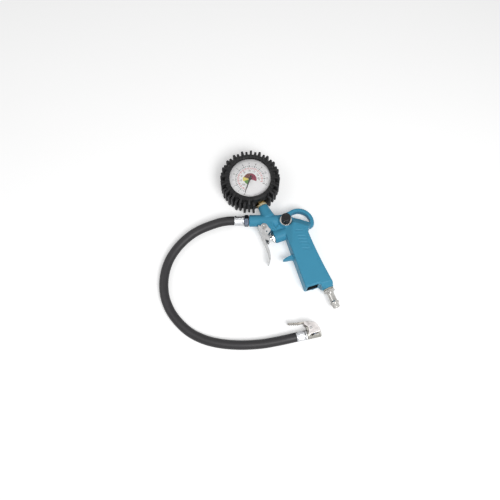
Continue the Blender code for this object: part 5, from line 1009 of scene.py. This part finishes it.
class INFLATOR_OT_hose(PieceOperator, bpy.types.Operator):
    """Rubber hose, its outlet fitting and its two crimped sleeves"""

    bl_idname = "inflator.hose"
    bl_label = "Hose"

    def execute(self, context):
        route = GUN([(SLEEVE_START - 0.3, 0.0, 0.0), (SLEEVE_START - 4.0, 0.0, 0.0),
                     *(np.array(HOSE_ROUTE) - (0.0, 0.0, HANDLE_HALF))])
        points = np.concatenate((route, CHUCK([(-4.0, 0, 0), (-0.3, 0, 0)])))
        path = curve_through(points, 420)
        diameter = sizes().hose_diameter
        hose = piece("air_hose", [bar(path, diameter / 2.0, 48)], finish("hose_rubber"), "gun", ("hose",))

        profile = [(SLEEVE_START + 0.8, 3.8), (-6.5, 3.8), *hexagon(-6.5, -0.3, 7.0), (-0.3, 5.0),
                   *threaded(0.6, 1.3, 8, 5.0, 4.5), (11.4, 5.0), (12.0, 4.4)]
        union = bored(BARREL, profile, 2.6)
        piece("outlet_union", [union], finish("gunmetal"), "gun", ("outlet_fitting",))
        sleeve = pointing(GUN, (SLEEVE_START, 0, 0), 0.0)
        zinc = finish("pressed_zinc")
        piece("gun_sleeve", [crimped(sleeve, SLEEVE_LENGTH, 6.75, 4.1)], zinc, "gun", ("hose_ferrule",))
        far = crimped(CHUCK_LINE, 11.0, 6.4, 3.9)
        chuck_sleeve = piece("chuck_sleeve", [far], zinc, "gun", ("chuck_ferrule",))
        chuck = chuck_pieces()
        return {"FINISHED"}


def chuck_pieces():
    """Clip-on chuck. Frame: along from the hose's end, towards the lever, up."""
    nut = [(0.8, 3.6), (11.3, 3.6), *hexagon(11.3, 13.7, 6.3, 0.6), (13.7, 3.7), (17.7, 3.7)]
    nut = bored(CHUCK_LINE, nut, 2.2)
    nut = piece("chuck_nut", [nut], finish("satin_zinc"), "gun", ("chuck_fitting",))
    ridges = [(at + 2.3 * k, radius) for k in range(6) for at, radius in ((16.9, 6.3), (17.2, 5.85), (17.5, 6.3))]
    shell = [(18.0, 0.4), (18.0, 4.0), (14.0, 4.0), (14.0, 5.7), (14.5, 6.3), *ridges, (30.7, 6.3), (31.2, 5.8),
             (31.2, 4.3), (19.2, 4.3), (19.2, 0.4)]
    tower = rounded([(14.5, 4.6), (24.5, 4.6), (24.5, 7.6), (22.5, 9.6), (14.5, 9.6)], 0.8)
    slit = [(15.8, -3.2), (30.2, -2.9), (30.2, -0.4), (15.8, -0.4)]
    mesh = cast("chuck_shell", [turned(CHUCK_LINE, shell, 96, 0.06), slab(CHUCK, tower, -6.05, 6.05, 0.5)], [], [
        hole(CHUCK_CROSS, -8.0, 8.0, 1.6, 32),
        slab(CHUCK, [(27.0, 1.0), (32.2, 1.0), (32.2, 8.0), (27.0, 8.0)], -3.0, 3.0),
        hole(Place(CHUCK((17.2, 0, 0)), CHUCK_AXES[0], (0, 0, 1)), -10.6, -8.7, 2.5, 40),
        slab(CHUCK, slit, 2.6, 8.0), slab(CHUCK, slit, -8.0, -2.6),
    ], 0.2, 1)
    body = piece("chuck_shell", mesh, finish("die_zinc"), "gun", ("chuck_body",), sharp=50.0)
    ear = rounded([(12.4, 16.9), (26.6, 13.3), (30.8, 5.2), (31.0, -0.2), (15.4, -0.9), (16.2, 3.4), (16.8, 8.4),
                   (13.0, 12.2)], (0.3, 2.5, 2.5, 1.0, 1.0, 1.5, 1.5, 1.5))
    folded = slab(CHUCK, fine(ear, 0.5), -7.8, 7.8, 0.5, 4)
    inside = [(11.0, 15.9), (26.0, 12.1), (28.6, 7.0), (33.0, 7.0), (33.0, -3.0), (10.0, -3.0)]
    clip = carved("chuck_clip", [folded], [slab(CHUCK, inside, -6.6, 6.6), hole(CHUCK_CROSS, -9.0, 9.0, 1.6, 48)])
    claw = rounded([(28.0, 8.8), (29.0, 8.4), (30.5, 5.4), (30.3, 3.2), (28.9, 3.2), (28.9, 5.6)], 0.3)
    clip = fused(clip, mesh_of("claw", [slab(CHUCK, claw, -2.4, 2.4, 0.2, 3)]))
    lever = body_of("chuck_lever")
    piece("chuck_clip", clip, finish("lever_plate"), lever, ("chuck_lever",), sharp=12.0)
    run = np.linspace(5.4, -6.7, 90)
    wave = 0.42 * np.cos((run + 6.7) * TAU / 2.42)
    over = np.stack((run, 16.65 + (5.4 - run) * 0.182 + wave), 1)
    under = np.stack((run, 15.1 + (5.4 - run) * 0.18 - wave), 1)[::-1]
    plate = np.concatenate(([(14.6, 15.0), (14.6, 16.5), (9.0, 16.3)], over, under, [(9.0, 14.95)]))[::-1]
    # the thumb tab takes a darker copy of the lever's plating, which paints shade on it
    piece("chuck_tab", [slab(CHUCK, plate, -5.2, 5.2, 0.25, 3)], finish("thumb_plate"), lever, sharp=30.0)
    inner = (("chuck_lever_pin", "satin_zinc"), ("chuck_seal", "seal_rubber"), ("chuck_core_pin", "gunmetal"),
             ("chuck_spring", "bright_nickel"))
    return [nut, body, *(dressed(node, finish(name)) for node, name in inner)]


# ---------------------------------------------------------------- gauge
CASE_BACK = 1.8
CASE_FRONT = 28.3
LENS_BACK = 28.6
RING_BACK = 30.0
DIAL_TOP = 25.5
BOOT_WALL = 33.75                                   # radius of the boot between its lugs
LUG_TOP = 40.05                                     # radius over the lugs
LUGS = 40
FIRST_LUG = 62.3                                    # azimuth of the first lug, in degrees
STEM_GAP = 13.0                                     # half the angle that the lugs leave free for the stem


def hump(value, low, high, slope):
    """1 between two limits and 0 outside them, eased over a slope inside each limit."""
    rise = np.clip((value - low) / slope, 0.0, 1.0)
    fall = np.clip((high - value) / slope, 0.0, 1.0)
    ease = rise * fall
    return ease * ease * (3.0 - 2.0 * ease)


def thrice(*points):
    """Rows of the section where the shell and both kinds of lug are one."""
    return [(point,) * 3 for point in points]


# The boot's section as radius and height: the shell, a long lug towards the front, one towards the back.
BOOT_SECTION = np.array([
    *thrice((25.0, 1.5), (25.0, 0.0), (32.6, 0.0), (33.3, 0.35), (BOOT_WALL, 0.9)),
    *[((BOOT_WALL, shell), (front, front_height), (back, back_height))
      for shell, front, front_height, back, back_height in (
          (1.0, BOOT_WALL, 1.0, 39.5, 1.0), (1.5, BOOT_WALL, 1.5, LUG_TOP, 1.4),
          (3.0, BOOT_WALL, 3.0, LUG_TOP, 3.0), (4.55, BOOT_WALL, 4.55, LUG_TOP, 4.55),
          (4.6, 39.5, 4.6, LUG_TOP, 4.6), (5.1, LUG_TOP, 5.0, LUG_TOP, 5.1),
          *((z, LUG_TOP, z, LUG_TOP, z) for z in (*np.linspace(6.0, 27.2, 14), 27.7)),
          (28.1, LUG_TOP, 28.1, 39.5, 28.1), (28.15, LUG_TOP, 28.15, BOOT_WALL, 28.15),
          (30.0, LUG_TOP, 30.0, BOOT_WALL, 30.2), (31.3, LUG_TOP, 31.2, BOOT_WALL, 31.9),
          (31.7, 39.6, 31.8, BOOT_WALL, 32.3))],
    ((33.3, 32.1), (37.4, 32.6), (33.3, 32.9)), ((32.8, 32.55), (34.6, 33.5), (32.9, 33.5)),
    ((32.15, 33.1), (32.4, 34.2), (32.35, 34.1)), ((31.6, 33.1), (31.6, 34.15), (31.6, 34.1)),
    ((30.2, 33.1), (30.2, 33.85), (30.2, 33.85)), ((28.8, 33.1), (28.8, 33.5), (28.8, 33.5)),
    ((28.4, 32.9), (28.4, 33.0), (28.4, 33.0)),
    *thrice((28.2, 32.5), (28.2, 31.3), (31.8, 31.3), (31.8, 1.5)),
])


class INFLATOR_OT_boot(PieceOperator, bpy.types.Operator):
    """Rubber boot with two staggered rows of lugs, like a tyre's tread"""

    bl_idname = "inflator.boot"
    bl_label = "Gauge boot"

    def execute(self, context):
        """Point = shell + share x (lug - shell): the share is 1 over a lug, 0 between lugs, eased at its sides."""
        slope = sizes().lug_draft
        half = (0.25, 0.6, 1.0 - slope, 1.0 - slope * 0.5, 1.0, 1.1, 1.25, 1.6)
        steps = np.array([-step for step in half[::-1]] + list(half))
        number = np.repeat(np.arange(LUGS), len(steps))
        across = np.tile(steps, LUGS)
        azimuth = FIRST_LUG + number * 360.0 / LUGS
        from_stem = (azimuth + 90.0 + 180.0) % 360.0 - 180.0
        angle = np.radians(azimuth + across * math.degrees(1.35 / BOOT_WALL))
        share = hump(across, -1.12, 1.12, slope) * (np.abs(from_stem) >= STEM_GAP)
        share = share * (1.0 - 0.05 * np.clip(np.abs(across), 0.0, 1.0) ** 2)
        shell = BOOT_SECTION[:, None, 0]
        lug = np.where((number % 2 == 0)[None, :, None], BOOT_SECTION[:, None, 1], BOOT_SECTION[:, None, 2])
        section = shell + share[None, :, None] * (lug - shell)
        boot = lattice(GAUGE(ringed(section[..., 0], angle, section[..., 1])), rows_close=True)
        mesh = carved("ribbed_boot", [boot], [hole(GAUGE_STEM, 27.5, 46.0, 8.3, 72)])
        piece("ribbed_boot", mesh, finish("boot_rubber"), "gun", ("gauge_boot",), sharp=40.0)
        return {"FINISHED"}


class INFLATOR_OT_case(PieceOperator, bpy.types.Operator):
    """Gauge case, stem with hexagon, washer, clear window and its ring"""

    bl_idname = "inflator.case"
    bl_label = "Gauge case"

    def execute(self, context):
        cup = turned(GAUGE, [(CASE_BACK, 0.4), (CASE_BACK, 30.0), (CASE_BACK + 0.5, 31.0), (CASE_BACK + 1.5, 31.5),
                             (CASE_FRONT, 31.5), (CASE_FRONT, 30.5), (4.0, 30.5), (2.8, 29.5), (2.8, 0.4)], 128)
        mesh = carved("case_cup", [cup], [hole(GAUGE_STEM, 27.5, 33.5, 5.3, 48)])
        piece("case_cup", mesh, finish("case_paint"), "gun", ("gauge_case",))
        lens_front = LENS_BACK + 1.1
        lens = [(LENS_BACK, 0.4), (LENS_BACK, 31.5), (lens_front, 31.5), (lens_front, 0.4)]
        lens = turned(GAUGE, lens, 128, 0.05)
        piece("dial_window", [lens], finish("window_clear"), "gun", ("gauge_lens",))
        ring = [(RING_BACK, 31.5), (RING_BACK + 1.0, 31.5), (RING_BACK + 1.0, 28.0), (RING_BACK, 27.5)]
        ring = turned(GAUGE, ring, 128, 0.0, closed=True)
        piece("window_ring", [ring], finish("case_paint"), "gun", ("lens_ring",))
        refined("gauge_stem", "gauge_socket", 0.2, finish("brass"))
        dressed("gauge_seal_washer", finish("washer_fibre"))
        return {"FINISHED"}


ZERO = 225.0                                        # azimuth of the zero of both scales
SWEEP = 270.0
FULL_BLACK = 12                                     # full scale of the outer, black scale
FULL_RED = 174.0                                    # and of the inner, red one, whose marks end at 170


def bearing(share):
    """Azimuth on the dial for a share of the full scale, clockwise from zero."""
    return ZERO - SWEEP * np.asarray(share, float)


def numeral(text, size, out, azimuth):
    """A number of the dial as a thin printed mesh, some way out from the middle and upright there."""
    data = bpy.data.curves.new("numeral", "FONT")
    data.body = text
    data.size = size * MM
    data.align_x = data.align_y = "CENTER"
    data.resolution_u = 3
    mesh = settled(placed("numeral", data))
    points = np.empty(len(mesh.vertices) * 3)
    mesh.vertices.foreach_get("co", points)
    x, y = points.reshape(-1, 3).T[:2] / MM
    c, s = math.cos(azimuth - math.pi / 2.0), math.sin(azimuth - math.pi / 2.0)
    printed_points = np.stack((out * math.cos(azimuth) + c * x - s * y, out * math.sin(azimuth) + s * x + c * y,
                               np.full(len(x), DIAL_TOP + 0.03)), 1)
    mesh.vertices.foreach_set("co", GAUGE(printed_points).astype(np.float32).reshape(-1))
    return mesh


def numbers(name, values, full, size, out, ink):
    """The numbers of a scale as one piece."""
    whole = bpy.data.meshes.new(name)
    for value in values:
        fused(whole, numeral(str(value), size, out, math.radians(float(bearing(value / full)))))
    piece(name, whole, finish(ink), "gun")


def ticks(values, full, near, far, width):
    """Radial strokes of a scale: one flat box for each value, all in one array."""
    angles = np.radians(bearing(values / full))[:, None, None]
    corners = np.array([(near, -width / 2), (far, -width / 2), (far, width / 2), (near, width / 2)])
    x = corners[None, :, 0:1] * np.cos(angles) - corners[None, :, 1:2] * np.sin(angles)
    y = corners[None, :, 0:1] * np.sin(angles) + corners[None, :, 1:2] * np.cos(angles)
    points = np.concatenate([np.concatenate((x, y, np.full_like(x, height)), -1)
                             for height in (DIAL_TOP, DIAL_TOP + 0.04)], 1)
    faces = np.array([(3, 2, 1, 0), (4, 5, 6, 7), (0, 1, 5, 4), (1, 2, 6, 5), (2, 3, 7, 6), (3, 0, 4, 7)])
    quads = faces[None] + 8 * np.arange(len(points))[:, None, None]
    return Shape(GAUGE(points.reshape(-1, 3)), quads.reshape(-1, 4))


def band(near, far, first, last):
    """Flat ring sector of ink between two azimuths."""
    angle = np.radians(np.linspace(first, last, 48))[:, None]
    reach = np.array([(near, far, far, near)])
    height = np.array([(DIAL_TOP, DIAL_TOP, DIAL_TOP + 0.035, DIAL_TOP + 0.035)])
    return lattice(GAUGE(ringed(reach, angle, height)))


class INFLATOR_OT_dial(PieceOperator, bpy.types.Operator):
    """Dial with a black outer scale, a red inner scale and a coloured hub, pointer and screws"""

    bl_idname = "inflator.dial"
    bl_label = "Dial"

    def execute(self, context):
        plate = bored(GAUGE, [(24.9, 29.9), (24.9, 30.0), (DIAL_TOP, 30.0), (DIAL_TOP, 29.9)], 1.6, 128, 0.03)
        screws = [GAUGE.moved((side * 10.5, -4.0, 0)) for side in (-1, 1)]
        mesh = carved("dial_plate", [plate], [hole(screw, 23.0, 27.5, 1.1, 24) for screw in screws])
        piece("dial_plate", mesh, finish("dial_enamel"), "gun", ("dial",))

        for name, ink, full, strokes in (
                ("outer_scale", "dial_black", FULL_BLACK, (
                    (np.arange(13), 17.9, 20.6, 0.8), (np.arange(37) / 3.0, 18.3, 20.0, 0.4),
                    (np.arange(121) / 10.0, 18.9, 19.6, 0.12))),
                ("inner_scale", "dial_red", FULL_RED, (
                    (np.arange(0, 171, 10), 14.2, 17.3, 0.6), (np.arange(0, 171, 5), 15.2, 17.0, 0.36),
                    (np.arange(0, 171, 1), 16.2, 16.9, 0.11)))):
            piece(name, [ticks(values, full, *stroke) for values, *stroke in strokes], finish(ink), "gun")
        numbers("outer_numbers", range(13), FULL_BLACK, 3.6, 22.8, "dial_black")
        numbers("inner_numbers", range(0, 171, 20), FULL_RED, 2.9, 12.2, "dial_maroon")
        for name, far, first, last in (("green", 8.2, 224.0, 172.0), ("yellow", 9.8, 172.0, 134.0),
                                       ("brown", 8.8, 134.0, 64.0), ("crimson", 8.8, 64.0, -44.0)):
            piece(f"hub_{name}", [band(1.9, far, first, last)], finish(f"dial_{name}"), "gun")

        tip = Place(GAUGE((0, 0, 0)), flat(GAUGE_TURN + ZERO), flat(GAUGE_TURN + ZERO + 90.0))
        side = [(19.4, 0.25), (3.0, 0.8), (0.0, 1.0), (-3.2, 1.0), (-5.0, 1.5)]
        blade = [(19.4, -0.25), *side, *((along, -out) for along, out in side[:0:-1])]
        hub = bored(GAUGE, [(26.4, 1.7), (27.1, 1.95), (27.4, 2.0)], 1.32, 64)
        cap = turned(GAUGE, [(27.3, 1.5), (27.5, 2.0), (27.8, 1.7), (27.95, 1.2), (28.0, 0.3)], 64)
        needle = slab(tip, rounded(blade, 0.3), 26.8, 27.4, 0.12)
        piece("needle", [needle, hub, cap], finish("black_plastic"), "pointer_set", ("pointer",))
        for number, screw in enumerate(screws, 1):
            head = [(23.6, 0.8), (25.8, 0.8), (25.8, 1.3), (26.15, 1.3), (26.4, 0.9), (26.5, 0.2)]
            head = turned(screw, head, 32)
            piece(f"dial_rivet_{number}", [head], finish("satin_zinc"), "gun", (f"dial_screw_{number}",))
        return {"FINISHED"}


class INFLATOR_OT_movement(PieceOperator, bpy.types.Operator):
    """Brass movement behind the dial, in its metals"""

    bl_idname = "inflator.movement"
    bl_label = "Movement"

    def execute(self, context):
        for node in ("bourdon_tube", "tube_tip", "tip_link", "movement_back_plate", "movement_front_plate",
                     "movement_pillar_1", "movement_pillar_2", "sector_gear", "pinion"):
            dressed(node, finish("brass"))
        dressed("hairspring", finish("bright_nickel"))
        return {"FINISHED"}


OPERATORS = (
    INFLATOR_OT_stage, INFLATOR_OT_casting, INFLATOR_OT_trigger, INFLATOR_OT_valves, INFLATOR_OT_plug,
    INFLATOR_OT_hose, INFLATOR_OT_boot, INFLATOR_OT_case, INFLATOR_OT_dial, INFLATOR_OT_movement,
)


class INFLATOR_PT_panel(bpy.types.Panel):
    """Lists the pieces and the values that shape them"""

    bl_idname = "INFLATOR_PT_panel"
    bl_label = "Tyre inflator"
    bl_space_type = "VIEW_3D"
    bl_region_type = "UI"
    bl_category = "Inflator"

    def draw(self, context):
        column = self.layout.column()
        for group in (sizes(), context.scene.inflator_colours):
            for name in group.bl_rna.properties.keys():
                if name not in ("rna_type", "name"):
                    column.prop(group, name)
        for operator in OPERATORS:
            column.operator(operator.bl_idname)


CLASSES = (InflatorSizes, InflatorColours, *OPERATORS, INFLATOR_PT_panel)


def register():
    for made in CLASSES:
        bpy.utils.register_class(made)
    bpy.types.Scene.inflator_sizes = bpy.props.PointerProperty(type=InflatorSizes)
    bpy.types.Scene.inflator_colours = bpy.props.PointerProperty(type=InflatorColours)


def unregister():
    del bpy.types.Scene.inflator_colours
    del bpy.types.Scene.inflator_sizes
    for made in reversed(CLASSES):
        bpy.utils.unregister_class(made)


def main():
    register()
    for operator in OPERATORS:
        group, name = operator.bl_idname.split(".")
        getattr(getattr(bpy.ops, group), name)()


if __name__ == "__main__":
    main()
